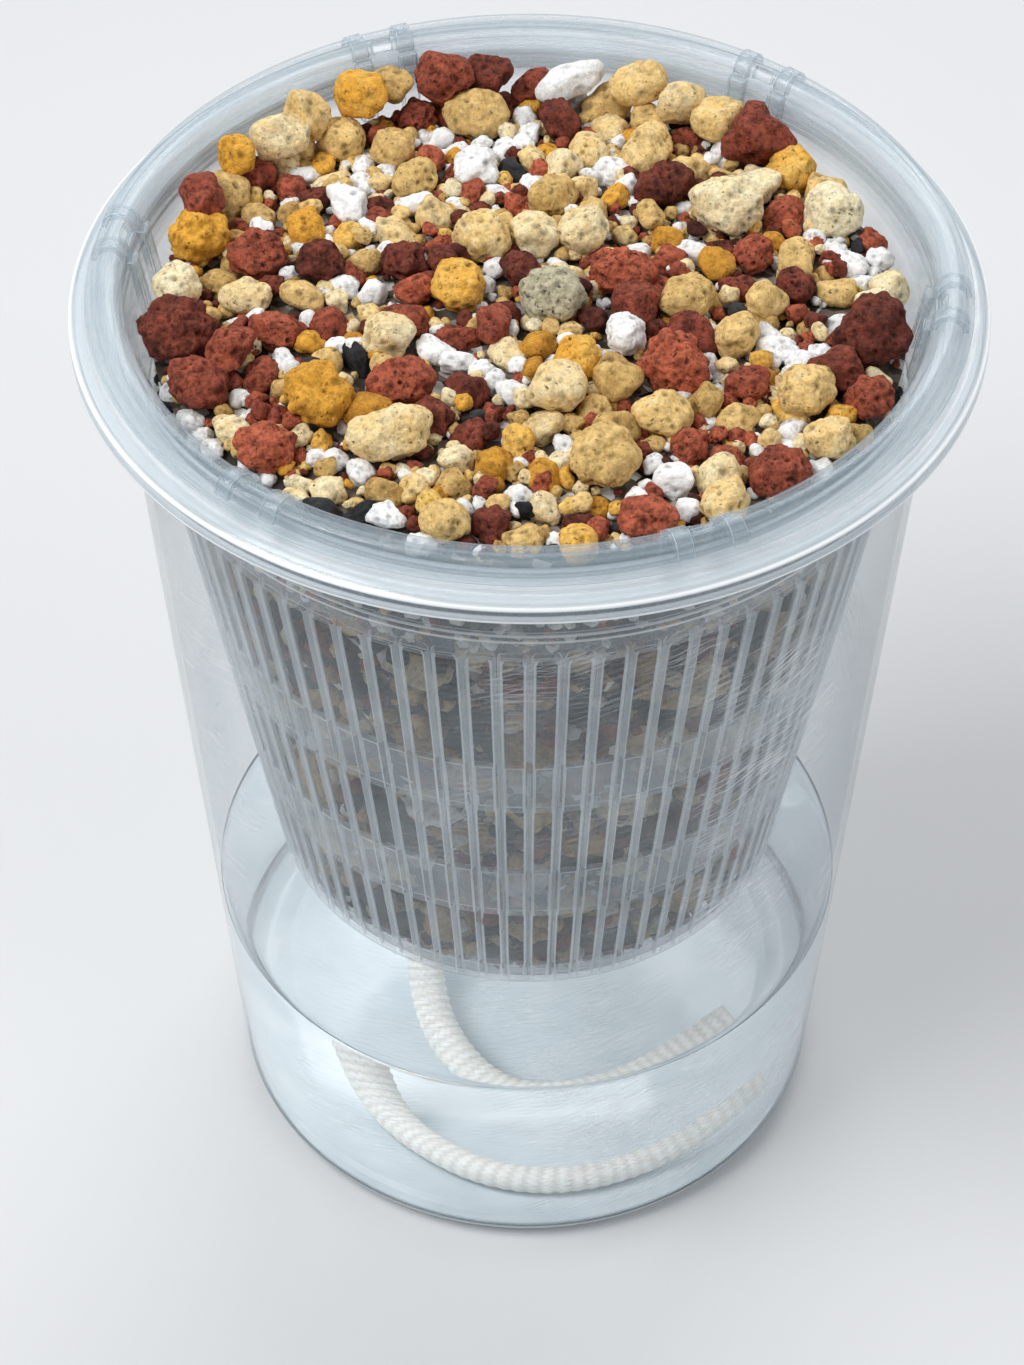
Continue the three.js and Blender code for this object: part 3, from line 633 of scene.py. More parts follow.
corner_centre = cup_outer(CUP_CORNER) - CUP_CORNER
foot_inner = corner_centre - FOOT_WIDTH


def cup_inside(skin, top):
    """Outline parallel to the cup's outside, a skin further in, from the axis to a height on the wall."""
    mitre = skin * math.tan(math.pi / 8)
    return [
        (0, FOOT_RECESS + skin),
        (foot_inner - FOOT_RECESS + mitre, FOOT_RECESS + skin),
        (foot_inner + mitre, skin),
        *arc(corner_centre, CUP_CORNER, CUP_CORNER - skin, -90, 0, 8),
        (cup_outer(top) - skin, top),
    ]


def make_reservoir():
    """The cup's base, wall, flange and skirt, turned from one outline."""
    flange_under = cup_height - CUP_WALL
    skirt_bottom = cup_height - SKIRT_DEPTH
    skirt_inner = rim_radius - CUP_WALL
    outline = [
        *cup_inside(0, flange_under),
        (skirt_inner, flange_under),
        (skirt_inner, skirt_bottom),
        (rim_radius, skirt_bottom),
        (rim_radius, cup_height - RIM_CHAMFER),
        (rim_radius - RIM_CHAMFER_WIDTH, cup_height),
        *cup_inside(CUP_WALL, cup_height)[::-1],
    ]
    cup = add_piece("reservoir_shell", *revolve(rounded(outline, EDGE_ROUND), CUP_STEPS), cup_plastic,
                    "reservoir", "clear_plastic")
    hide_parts("reservoir_cup")


MENISCUS = 0.8 * MM
MENISCUS_WIDTH = 2.2 * MM
# Shares of the width and of the rise, from the wall inwards
MENISCUS_CURVE = [(1.0, 1.0), (0.9, 0.62), (0.75, 0.34), (0.5, 0.1), (0.25, 0.02), (0.0, 0.0)]
WATER_ROWS = 24


def make_water():
    """Still water that climbs the wall a little at its edge.

    Its skin lies within the wall, as wet plastic has no gap.
    """
    skin = CUP_WALL / 2
    level = water_top - MENISCUS
    heights = np.linspace(CUP_CORNER, level, WATER_ROWS)[1:]
    wall = cup_outer(water_top) - skin
    flat = wall - MENISCUS_WIDTH
    outline = [
        *cup_inside(skin, CUP_CORNER)[:-1],
        *[(cup_outer(z) - skin, z) for z in heights],
        *[(flat + MENISCUS_WIDTH * share, level + MENISCUS * rise) for share, rise in MENISCUS_CURVE],
        *[(r, level) for r in np.linspace(flat, 0, WATER_ROWS)[1:]],
    ]
    water = add_piece("water_body", *revolve(outline, CUP_STEPS), water_look, "reservoir", "water")
    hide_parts("water")


make_reservoir()
make_water()


# Net cup: one sheet of plastic with its slots left open, given its thickness by a modifier

pitch = FULL_TURN / SLOTS_ROUND
LIP_ANGLES = [180, 160, 140, 120, 100, 80, 60, 40, 20, 0]
WINDOW_ANGLE = 120
NET_EDGE_ROUND = 0.1 * MM
RING_SET = 0.3 * MM
RING_STEP = 0.06
STRAP_STAND = 0.3 * MM
STRAP_ROOT = 0.5 * NET_WALL
STRAP_CREST = 0.8
RIB_END = 0.8 * MM
# Inset of a stacking rib's outline and depth from the wall's inside, from root to crest
RIB_LAYERS = [(0, -0.4 * NET_WALL), (0, 0.6 * RIB_STAND), (0.35 * RIB_STAND, RIB_STAND)]
# Shares of the bead's height and of its stand
BEAD_CURVE = [(-0.5, 0), (-0.2, 0.8), (0, 1), (0.2, 0.8), (0.5, 0)]
WINDOW_SHARE = 0.31
NET_EDGE_ANGLE = 40
RIB_EDGE_ANGLE = 25


def net_columns():
    """Angles of the sheet's columns, each with whether a slot follows and whether it lies off the ribs."""
    half_rib = (1 - SLOT_SHARE) / 2 * pitch
    crest = half_rib - RING_STEP * pitch
    columns = []
    for i in range(SLOTS_ROUND):
        middle = i * pitch
        columns += [(middle - half_rib, False, True), (middle - crest, False, False),
                    (middle, False, False), (middle + crest, False, False),
                    (middle + half_rib, True, True), (middle + pitch / 2, True, True)]
    return columns


def on_lip(angle, radius):
    """Radius and height of a place on the rolled lip, at an angle in degrees round its middle."""
    a = math.radians(angle)
    return net_outer(seat) + LIP_OFFSET + radius * math.cos(a), lip_centre + radius * math.sin(a)


def net_rows():
    """Rows from the floor's edge to the collar: radius, height, opening above, set-back of the rings."""
    corner_top = net_bottom + NET_CORNER
    corner = arc(net_outer(corner_top) - NET_CORNER, corner_top, NET_CORNER, -90, 0, 4)
    rows = [(r, z, None, 0) for r, z in corner]
    rows.append((net_outer(corner_top + RING_SET), corner_top + RING_SET, None, RING_SET))
    height = net_bottom
    for ring, tall in zip(RING_HEIGHTS, SLOT_HEIGHTS):
        height += ring
        rows.append((net_outer(height), height, "slot", RING_SET))
        height += tall
        rows.append((net_outer(height), height, None, RING_SET))
    for above, back in ((RIB_END, RING_SET), (RIB_END + RING_SET, 0)):
        rows.append((net_outer(height + above), height + above, None, back))
    bead = seat - BEAD_DROP
    for offset, stand in BEAD_CURVE:
        z = bead + offset * BEAD_HEIGHT
        rows.append((net_outer(z) + stand * BEAD_STAND, z, None, 0))
    rows.append((net_outer(seat - 2 * NET_WALL), seat - 2 * NET_WALL, None, 0))
    rows.append((net_outer(seat), seat, None, 0))
    for angle in LIP_ANGLES:
        opening = "window" if angle > WINDOW_ANGLE else None
        rows.append((*on_lip(angle, LIP_ROUND - NET_WALL), opening, 0))
    rows.append((collar_radius - NET_WALL, seat + CONTENT_GAP, None, 0))
    return rows


def is_window(angle):
    """Whether a column's gap lies between the two ribs of a pair."""
    for i in range(RIB_PAIRS):
        away = (angle - RIB_TURN - FULL_TURN * i / RIB_PAIRS + math.pi) % FULL_TURN - math.pi
        if abs(away) < WINDOW_SHARE * pitch:
            return True
    return False


def ring_edges(bm, points, z):
    """A closed loop of edges through points at a height."""
    verts = [bm.verts.new((x, y, z)) for x, y in points]
    return [bm.edges.new((a, b)) for a, b in zip(verts, verts[1:] + verts[:1])]


def floor_loops():
    """Outlines of the round holes and of the slots in the net cup's floor."""
    loops = []
    for i in range(FLOOR_HOLES):
        bearing = RIB_TURN + FULL_TURN * i / FLOOR_HOLES
        cx, cy = at_bearing(bearing, FLOOR_HOLE_RING)
        loops.append([(cx + x, cy + y) for x, y in arc(0, 0, FLOOR_HOLE_RADIUS, 0, 360, 24)[:-1]])
    for i in range(FLOOR_SLOTS):
        bearing = FULL_TURN * (i + 0.5) / FLOOR_SLOTS
        loop = []
        for end, start in ((1, -90), (-1, 90)):
            middle = FLOOR_SLOT_RING + end * (FLOOR_SLOT_LENGTH - FLOOR_SLOT_WIDTH) / 2
            ends = arc(middle, 0, FLOOR_SLOT_WIDTH / 2, start, start + 180, 6)
            loop += [at_bearing(bearing, x, y) for x, y in ends]
        loops.append(loop)
    return loops


def stacking_rib(bearing):
    """Upright rib with a round lower end on the inside of the wall, as vertices and faces."""
    half = RIB_WIDTH / 2
    outline = [(half, 0), *arc(0, half - RIB_LENGTH, half, 0, -180, 10), (-half, 0)]
    verts = []
    for inset, depth in RIB_LAYERS:
        for x, y in outline:
            z = lip_centre + y * (1 - inset / RIB_LENGTH)
            verts.append((*at_bearing(bearing, net_inner(z) - depth, x * (1 - inset / half)), z))
    return verts, tube_faces(len(RIB_LAYERS), len(outline))


def lip_strap(bearing):
    """Low band in line with a rib, over the rolled lip, as vertices and faces."""
    half = RIB_WIDTH / 2
    crest = STRAP_CREST * half
    section = [(-STRAP_ROOT, half), (STRAP_STAND, crest), (STRAP_STAND, -crest), (-STRAP_ROOT, -half)]
    verts = []
    for angle in LIP_ANGLES:
        for depth, across in section:
            r, z = on_lip(angle, LIP_ROUND + depth)
            verts.append((*at_bearing(bearing, r, across), z))
    return verts, tube_faces(len(LIP_ANGLES), len(section))


def round_and_highlight_edges(piece, angle):
    """Rounds a piece's edges that turn more than an angle in degrees, and gives them its second look:
    denser plastic as a painted highlight.
    """
    rounding = piece.modifiers.new("edges", "BEVEL")
    rounding.width = NET_EDGE_ROUND
    rounding.segments = 2
    rounding.limit_method = "ANGLE"
    rounding.angle_limit = math.radians(angle)
    rounding.material = 1
    return rounding


def make_net_cup():
    """The slotted net with its floor, and the stacking ribs inside it."""
    bm = bmesh.new()
    columns = net_columns()
    rows = net_rows()
    grid = []
    for r, z, _, back in rows:
        reach = [(angle, r - back if off_rib else r) for angle, _, off_rib in columns]
        grid.append([bm.verts.new((*at_bearing(a, far), z)) for a, far in reach])
    for row, above, (_, _, opening, back) in zip(grid, grid[1:], rows):
        for i, (angle, is_slot, off_rib) in enumerate(columns):
            if opening == "slot" and is_slot:
                continue
            if opening == "window" and is_slot and is_window(angle):
                continue
            j = (i + 1) % len(columns)
            face = bm.faces.new((row[i], row[j], above[j], above[i]))
            # Steps where a ring is set back from the ribs take the painted highlight look
            face.material_index = int(back > 0 and off_rib != columns[j][2])
    edges = [bm.edges.get((a, b)) for a, b in zip(grid[0], grid[0][1:] + grid[0][:1])]
    for loop in floor_loops():
        edges += ring_edges(bm, loop, net_bottom)
    bmesh.ops.triangle_fill(bm, use_beauty=True, edges=edges, normal=(0, 0, -1))
    bm.verts.index_update()
    verts = [v.co.copy() for v in bm.verts]
    faces = [[v.index for v in f.verts] for f in bm.faces]
    sides = [f.material_index for f in bm.faces]
    bm.free()
    net = add_piece("net_basket", verts, faces, net_plastic, "insert", "clear_plastic")
    # Second look: painted highlight on the rounded edges
    net.data.materials.append(net_edge_highlight)
    net.data.polygons.foreach_set("material_index", sides)
    shell = net.modifiers.new("thickness", "SOLIDIFY")
    shell.thickness = NET_WALL
    shell.offset = -1
    shell.use_even_offset = True
    rounding = round_and_highlight_edges(net, NET_EDGE_ANGLE)
    rounding.harden_normals = True
    rounding.use_clamp_overlap = False
    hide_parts("net_cup")
    rib_verts, rib_faces = [], []
    for i in range(RIB_PAIRS):
        for side in (-0.5, 0.5):
            bearing = RIB_TURN + FULL_TURN * i / RIB_PAIRS + side * RIB_SPREAD
            for verts, faces in (stacking_rib(bearing), lip_strap(bearing)):
                rib_faces += [[len(rib_verts) + k for k in face] for face in faces]
                rib_verts += verts
    ribs = add_piece("stacking_ribs", rib_verts, rib_faces, net_plastic, "insert", "clear_plastic")
    # Second look: painted highlight on the rounded edges
    ribs.data.materials.append(net_edge_highlight)
    round_and_highlight_edges(ribs, RIB_EDGE_ANGLE)


make_net_cup()


# Stones: a fine ball pushed out to each solid's surface, softened, then roughened as its kind of stone is

ROUGHNESS = {
    # kind: how sharp edges stay, lumps as a share of the radius, their size, pit spacing, pit depth
    "red_lava": (110, 0.22, 2.6 * MM, 1.3 * MM, 0.75 * MM),
    "tan_pumice": (44, 0.22, 3.8 * MM, 1.3 * MM, 0.42 * MM),
    "ochre_pumice": (34, 0.26, 3.6 * MM, 1.4 * MM, 0.42 * MM),
    "grey_gravel": (26, 0.18, 3.2 * MM, 1.2 * MM, 0.55 * MM),
    "white_perlite": (26, 0.27, 2.5 * MM, 1.4 * MM, 0.16 * MM),
    "charcoal": (70, 0.26, 3.0 * MM, 1.6 * MM, 0.2 * MM),
}
# Noise of the lumps: roughness, step between sizes, number of sizes
LUMP_NOISE = (0.9, 2.1, 5)
# Pits: greatest width in spacings; least, mean, spread and variety of widths; curve of their sides
WIDEST_PIT = 0.6
NARROWEST_PIT = 0.05
MEAN_PIT = 0.45
PIT_SPREAD = 0.9
PIT_VARIETY = 1.7
PIT_CURVE = 0.7
# How far off in the noise a stone may lie
NOISE_REACH = 0.5


def ball(fineness):
    """Directions and triangles of an even ball."""
    bm = bmesh.new()
    bmesh.ops.create_icosphere(bm, subdivisions=fineness, radius=1)
    bm.verts.index_update()
    directions = np.array([v.co for v in bm.verts])
    faces = np.array([[v.index for v in f.verts] for f in bm.faces])
    bm.free()
    return directions, faces


def softener(directions, kind):
    """Weights that average what is near each direction, so that a stone's edges wear round."""
    weights = np.exp(ROUGHNESS[kind][0] * (directions @ directions.T - 1).astype(np.float32))
    return weights / weights.sum(axis=1, keepdims=True)


def roughen(points, directions, size, kind, offset):
    """Points of a stone with lumps and pits, and how deep in a pit each one lies."""
    _, lump, lump_size, pit_size, pit_depth = ROUGHNESS[kind]
    moved = np.empty_like(points)
    pits = np.empty(len(points))
    for i, (point, direction) in enumerate(zip(points, directions)):
        spot = Vector(point) + offset
        bump = noise.fractal(spot / lump_size, *LUMP_NOISE) * lump * size
        distances, centres = noise.voronoi(spot / pit_size)
        width = MEAN_PIT + PIT_SPREAD * noise.noise(centres[0] * PIT_VARIETY)
        width = WIDEST_PIT * min(1.0, max(NARROWEST_PIT, width))
        pits[i] = max(0.0, 1 - distances[0] / width) ** PIT_CURVE
        moved[i] = point + direction * (bump - pits[i] * pit_depth)
    return moved, pits


# Tones of single stones, 0 dark to 1 light, and the range of the others
STONE_TONES = {
    "red_lava": {"01": 0.3, "02": 0.2, "04": 0.5, "05": 0.95, "06": 0.9, "07": 0.85, "08": 0.2, "09": 0.6,
                 "10": 0.75, "11": 0.85, "13": 0.15, "14": 0.2},
    "tan_pumice": {"01": 1.0, "02": 0.68, "04": 0.85, "07": 0.75, "10": 0.9, "19": 0.3, "20": 0.2},
}
OTHER_TONES = (0.25, 0.7)
STONE_FINENESS = 5


def make_solid_stones():
    """A rough stone in the place of each solid one. Gives the stones' places and mean radii."""
    directions, faces = ball(STONE_FINENESS)
    softeners = {}
    places, sizes = [], []
    for name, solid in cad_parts.items():
        kind, _, number = name.rpartition("_")
        if kind not in STONE_LOOKS:
            continue
        if kind not in softeners:
            softeners[kind] = softener(directions, kind)
        low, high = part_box(name)
        centre = (low + high) / 2
        size = min(high - low) / 2
        corners = [v.co for v in solid.data.vertices]
        tree = BVHTree.FromPolygons(corners, [list(p.vertices) for p in solid.data.polygons])
        reach = np.array([tree.ray_cast(centre, Vector(d))[3] or size for d in directions])
        points = np.array(centre) + directions * (softeners[kind] @ reach)[:, None]
        own = random.Random(name)
        offset = Vector((0, 0, own.uniform(0, NOISE_REACH)))
        points, pits = roughen(points, directions, size, kind, offset)
        points[:, 2] = np.minimum(points[:, 2], cad_box[1][2])
        piece = add_piece(name + "_rock", points.tolist(), faces.tolist(), STONE_LOOKS[kind],
                          "insert", kind)
        tone = STONE_TONES.get(kind, {}).get(number, own.uniform(*OTHER_TONES))
        add_values(piece, "tone", np.full(len(points), tone))
        add_values(piece, "pit", pits)
        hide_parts(name)
        places.append(centre)
        sizes.append(sum(high - low) / 6)
    return np.array(places), np.array(sizes)


# Loose stones too small to be solids of their own, as x, y, length and width in mm

LOOSE_STONES = {
    "red_lava": [
        (-34, 27, 5, 4.5), (-28.5, 22.5, 5, 5), (-20, 20, 6, 4.5), (-6.5, 18.5, 6, 4.5),
        (-11.5, 11.5, 6, 4), (-33.5, -14.5, 7, 5), (-25.5, -5.5, 6.5, 6), (-15.5, -5.5, 7, 6),
        (-9, -8, 6, 5), (-31.5, -22.5, 6, 4.5), (-10, -19, 6, 6), (-7, -27, 6.5, 5), (-5.5, -42.5, 5, 5),
        (6, -42.5, 6, 4.5), (24, -31, 5.5, 5), (26.5, 1.5, 6, 6), (17, 2, 4, 4), (22, 37.5, 7, 5),
        (4, 42.5, 6, 5.5), (33.5, 19.5, 6.5, 6), (46.5, 14.5, 5, 4), (-13, 43.5, 7, 6),
    ],
    "tan_pumice": [
        (-30, 39.5, 6, 6), (-37, 32, 5, 4.5), (-26, 27.5, 6.5, 3.5), (-35.5, 18.5, 5, 4.5),
        (-12.5, 17.5, 6, 6), (-16.5, 13, 7, 5), (-3, 14.5, 4.5, 4.5), (-22.5, 7, 5, 5), (-44, 0, 6, 5),
        (-4, -11.5, 8, 5.5), (-25, -13, 5, 4.5), (-36.5, -22.5, 7, 6), (-9, -35.5, 5.5, 5),
        (-14, -36.5, 4, 4), (-28.5, -38, 4, 4), (-16.5, -42, 5.5, 4.5), (-2.5, -46, 6, 5),
        (1.5, -39.5, 5, 3.5), (8, -22.5, 7, 5.5), (1.5, -26, 7, 6), (25.5, -24, 7, 6), (42.5, -28, 4, 4),
        (35, 11, 6.5, 6), (39.5, 3, 6.5, 6), (12.5, 14, 6, 4.5), (7, 24, 5.5, 4), (11, 38.5, 6.5, 6),
        (17, 42, 7, 6), (24.5, 39, 3.5, 3.5), (32, 36, 5, 4), (30.5, 28.5, 6.5, 4), (26, 27.5, 6, 5),
        (48, 5, 6, 5),
    ],
    "ochre_pumice": [
        (-24.5, 13.5, 5.5, 5), (-28.5, 30.5, 4.5, 4), (-1.5, 45.5, 4, 4), (-28, -7.5, 4, 4),
        (-4, -32.5, 5, 5), (2, -34, 5.5, 5), (6.5, -47, 5.5, 5), (3, 33, 7, 5), (11.5, 21.5, 5, 3.5),
        (17, 13, 6, 5), (39, -22.5, 4, 4),
    ],
    "white_perlite": [
        (17.5, -35, 6, 6), (31, -28.5, 5.5, 4.5), (-13, 36.5, 6, 4.5), (27.5, 35, 5, 4.5),
        (1, 25.5, 6, 5), (3, -45, 3, 3), (42, 9, 5, 5), (45, 10.5, 4, 4), (40.5, 11, 4, 3.5),
        (43.5, 6.5, 4, 3), (-44, -20, 4, 3.5), (-42, -22.5, 3.5, 3), (-46, -17, 3, 3),
        (-31, -11.5, 3.5, 3), (-12, -11, 5, 4), (-9, -13.5, 5, 3.5), (-6, -14.5, 4, 3), (-2, -19, 5, 4),
        (-4, -17, 4, 3.5), (31, -10, 5, 4), (34, -12, 5, 4), (36.5, -9.5, 4, 3.5), (30, -6.5, 4, 3),
        (-22, 26, 4, 3.5), (-19, 28.5, 4, 3.5), (-17.5, 22, 5, 3.5), (-21, 14.5, 4, 3),
        (-24.5, 3.5, 4, 3.5), (-20, 1, 4, 4), (-18.5, 10, 4, 3), (14, 9.5, 5, 4), (20.5, 10.5, 5, 4),
        (15, 24, 4, 3.5), (11, 28.5, 5, 4), (-3, 34.5, 5, 4), (-9.5, 33, 4, 3.5), (-3.5, 23, 4, 3),
        (-20.5, -33, 4, 3.5), (-23.5, -30.5, 4, 3), (-1, -38, 4, 3.5), (13, -38.5, 4, 4),
        (4.5, -29, 4, 3), (33.5, -27, 4, 4), (37, -35, 4, 3.5), (-38.5, -26, 4, 3), (-12.5, -46, 4, 3.5),
        (22, -13, 3.5, 3), (40, -4.5, 4, 3), (-26, 35, 4, 4), (-22.5, 31.5, 4, 3), (9, 44.5, 5, 4),
        (-0.5, 41.5, 4, 4), (0, 38, 4, 3.5),
    ],
    "charcoal": [
        (-2.8, 27, 5, 4), (-22, -12.5, 6, 2.5), (-25, -38.5, 7, 2.2), (-22, -41, 7, 2), (-40, 36, 4, 2),
        (-6.5, -24, 4, 2),
    ],
}
LOOSE_FINENESS = 4
LOOSE_TONES = (0.15, 0.85)
# Stones bedded in the mix: centre below the top in half lengths, least length in mm, width as a share
BEDDED_TOP = 0.75
BEDDED_LENGTH = 5
BEDDED_SLIMNESS = 0.88
# Stones heaped up against the back of the wall: bearings in degrees, reach and lengths in mm, and lift
HEAP_STONES = 17
HEAP_FROM = 38
HEAP_TO = 152
HEAP_JITTER = 0.3
HEAP_REACH = 46
HEAP_LENGTH = (6.5, 9.5)
HEAP_LIFT = 5 * MM
# Sizes of the stones that fill the gaps, largest first: least and greatest half length, and tries
FILL_ROUNDS = [(3.0 * MM, 4.3 * MM, 1500), (1.9 * MM, 3.0 * MM, 1300)]
FILL_LIFT = (0.4, 0.9)
FILL_APART = 0.72
# Share of a stone's half length that counts as its radius when others lie beside it
FILL_CLEAR = 0.9
FILL_SLIMNESS = (0.62, 0.95)
FILL_SHARES = {"tan_pumice": 0.44, "red_lava": 0.36, "ochre_pumice": 0.1, "white_perlite": 0.1}
TEMPLATES = 8
TEMPLATE_RADIUS = 2.4 * MM
TEMPLATE_SHIFT = (0.037, 0.011)
# Flat chips on a stone: how many, their distances from its middle, the least slant, and the radius between
CHIPS = 11
CHIP_DEPTHS = (0.68, 1)
CHIP_SLANT = 0.05
CHIP_FREE = 1.15
SCATTER_TILT = 0.5
SCATTER_FLATNESS = (0.75, 0.95)
SETTLE_STEPS = 80
SETTLE_DROP = 0.08 * MM
SETTLE_TOUCH = 0.86
SETTLE_EASE = 0.5
STONE_BED = 0.6 * MM
LEAST_STAND = 0.4


def keep_within(places, sizes):
    """Places held inside the net cup's ribs, above the mix and below the highest stone."""
    floor = mix_top(places[:, 0], places[:, 1]) + STONE_BED + LEAST_STAND * sizes
    places[:, 2] = np.clip(places[:, 2], floor, np.maximum(floor, cad_box[1][2] - CHIP_FREE * sizes))
    reach = np.hypot(places[:, 0], places[:, 1])
    limit = net_inner(places[:, 2]) - RIB_STAND - sizes
    places[:, :2] *= np.minimum(1, limit / reach)[:, None]


def settle(places, sizes, fixed_places, fixed_sizes):
    """Lets loose stones down among the fixed ones, and pushes those apart that overlap."""
    for _ in range(SETTLE_STEPS):
        places[:, 2] -= SETTLE_DROP
        for others, other_sizes, share in ((fixed_places, fixed_sizes, 1.0), (places.copy(), sizes, 0.5)):
            gap = places[:, None] - others[None]
            apart = np.linalg.norm(gap, axis=2)
            touch = SETTLE_TOUCH * (sizes[:, None] + other_sizes[None])
            push = np.where((apart < touch) & (apart > 1e-9), share * (touch - apart), 0)
            away = gap / np.maximum(apart, 1e-9)[..., None]
            places += (away * push[..., None]).sum(axis=1) * SETTLE_EASE
        keep_within(places, sizes)
    return places


def templates(kind, fineness):
    """A few rough stones of unit size, chipped flat on some sides, to be turned and stretched."""
    directions, faces = ball(fineness)
    wear = softener(directions, kind)
    own = random.Random(kind)
    shapes = []
    for i in range(TEMPLATES):
        reach = np.full(len(directions), CHIP_FREE)
        for _ in range(CHIPS):
            chip = Vector((own.gauss(0, 1), own.gauss(0, 1), own.gauss(0, 1))).normalized()
            reach = np.minimum(reach, own.uniform(*CHIP_DEPTHS) / np.maximum(directions @ chip, CHIP_SLANT))
        points = directions * (wear @ reach)[:, None] * TEMPLATE_RADIUS
        offset = Vector((*[shift * i for shift in TEMPLATE_SHIFT], NOISE_REACH))
        points, pits = roughen(points, directions, TEMPLATE_RADIUS, kind, offset)
        shapes.append((points / TEMPLATE_RADIUS, pits))
    return shapes, faces


def scatter(name, kind, grains, fineness, looks):
    """One mesh of many grains of (place, half length, half width, tone), each turned its own way."""
    shapes, faces = templates(kind, fineness)
    own = random.Random(name)
    all_points, all_faces, all_pits, all_tones = [], [], [], []
    first = 0
    for where, half_length, half_width, tone in grains:
        points, pits = own.choice(shapes)
        tilts = [own.uniform(-SCATTER_TILT, SCATTER_TILT) for _ in range(2)]
        turn = Euler((*tilts, own.uniform(0, FULL_TURN))).to_matrix()
        half_height = (half_length + 2 * half_width) / 3 * own.uniform(*SCATTER_FLATNESS)
        scale = np.array([half_length, half_width, half_height])
        all_points.append((points * scale) @ np.array(turn).T + np.array(where))
        all_faces.append(faces + first)
        all_pits.append(pits)
        all_tones.append(np.full(len(points), tone))
        first += len(points)
    piece = add_piece(name, np.concatenate(all_points).tolist(), np.concatenate(all_faces).tolist(),
                      looks[kind], "insert", SLOT_OF_KIND[kind])
    add_values(piece, "pit", np.concatenate(all_pits))
    add_values(piece, "tone", np.concatenate(all_tones))


def scatter_kinds(prefix, grains, fineness, looks):
    """A mesh of grains for each kind of stone."""
    for kind, of_kind in grains.items():
        scatter(f"{prefix}_{kind}", kind, of_kind, fineness, looks)


def pick_kind(own, shares):
    """A kind of stone drawn by its share."""
    return own.choices(list(shares), list(shares.values()))[0]


def on_mix(own, half, lift):
    """A place drawn evenly over the mix, lifted by a drawn share of a stone's half length."""
    reach = (mix_radius - half) * math.sqrt(own.random())
    x, y = at_bearing(own.uniform(0, FULL_TURN), reach)
    return np.array([x, y, mix_top(x, y) + STONE_BED + half * own.uniform(*lift)])


def room(where, places, sizes, share):
    """Distance from a place to the nearest stone, each taken at a share of its mean radius."""
    return (np.linalg.norm(np.array(places) - where, axis=1) - share * np.array(sizes)).min()


def solid_mix():
    """The solid potting mix with its facets joined at their corners."""
    bm = bmesh.new()
    bm.from_mesh(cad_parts["potting_mix"].data)
    bmesh.ops.remove_doubles(bm, verts=bm.verts, dist=0.01 * MM)
    bm.verts.index_update()
    return bm


def bedded_lumps():
    """Box of each small stone that stands out of the top of the solid mix."""
    bm = solid_mix()
    left = {v.index: v for v in bm.verts if v.co.z > mix_top(v.co.x, v.co.y) + CONTENT_GAP}
    boxes = []
    while left:
        lump = [left.pop(min(left))]
        for vert in lump:
            for edge in vert.link_edges:
                other = left.pop(edge.other_vert(vert).index, None)
                if other:
                    lump.append(other)
        corners = np.array([v.co for v in lump])
        boxes.append((corners.min(axis=0), corners.max(axis=0)))
    bm.free()
    return boxes


def heaped_stones(own):
    """Rows like those of the loose stones, in an arc along the back of the wall."""
    rows = []
    for i in range(HEAP_STONES):
        along = (i + own.uniform(-HEAP_JITTER, HEAP_JITTER)) / (HEAP_STONES - 1)
        bearing = math.radians(HEAP_FROM + (HEAP_TO - HEAP_FROM) * along)
        length = own.uniform(*HEAP_LENGTH)
        kind = pick_kind(own, FILL_SHARES)
        width = length * own.uniform(*FILL_SLIMNESS)
        rows.append((kind, *at_bearing(bearing, HEAP_REACH), length, width))
    return rows


def make_loose_stones(solid_places, solid_sizes):
    """Small stones, bedded in the mix or settled among others. Gives all places and mean radii."""
    listed = [(kind, *values) for kind, rows in LOOSE_STONES.items() for values in rows]
    own = random.Random("loose stones")
    grains = {kind: [] for kind in LOOSE_STONES}
    fixed_places, fixed_sizes = list(solid_places), list(solid_sizes)
    for low, high in bedded_lumps():
        x, y, _ = (low + high) / 2
        stones = [row for row in listed if row[3] >= BEDDED_LENGTH and row[0] != "charcoal"]
        nearest = min(stones, key=lambda row: math.hypot(row[1] * MM - x, row[2] * MM - y))
        listed.remove(nearest)
        half = (high[0] - low[0] + high[1] - low[1]) / 4
        where = np.array([x, y, high[2] - BEDDED_TOP * half])
        grains[nearest[0]].append((where, half, BEDDED_SLIMNESS * half, own.uniform(*LOOSE_TONES)))
        fixed_places.append(where)
        fixed_sizes.append(FILL_CLEAR * half)
    heap = heaped_stones(own)
    listed += heap
    sizes = np.array([(length + width) / 4 * MM for _, _, _, length, width in listed])
    places = np.array([(x * MM, y * MM, 0) for _, x, y, _, _ in listed])
    places[:, 2] = mix_top(places[:, 0], places[:, 1]) + STONE_BED + sizes
    places[-len(heap):, 2] += HEAP_LIFT
    places = settle(places, sizes, np.array(fixed_places), np.array(fixed_sizes))
    for where, (kind, _, _, length, width) in zip(places, listed):
        grains[kind].append((where, length / 2 * MM, width / 2 * MM, own.uniform(*LOOSE_TONES)))
    places, sizes = [*fixed_places, *places], [*fixed_sizes, *sizes]
    for half in [own.uniform(low, high) for low, high, tries in FILL_ROUNDS for _ in range(tries)]:
        where = on_mix(own, half, FILL_LIFT)
        kind = pick_kind(own, FILL_SHARES)
        if room(where, places, sizes, FILL_CLEAR) > FILL_APART * half:
            grains[kind].append((where, half, half * own.uniform(*FILL_SLIMNESS), own.random()))
            places.append(where)
            sizes.append(FILL_CLEAR * half)
    scatter_kinds("loose", grains, LOOSE_FINENESS, STONE_LOOKS)
    return np.array(places), np.array(sizes)


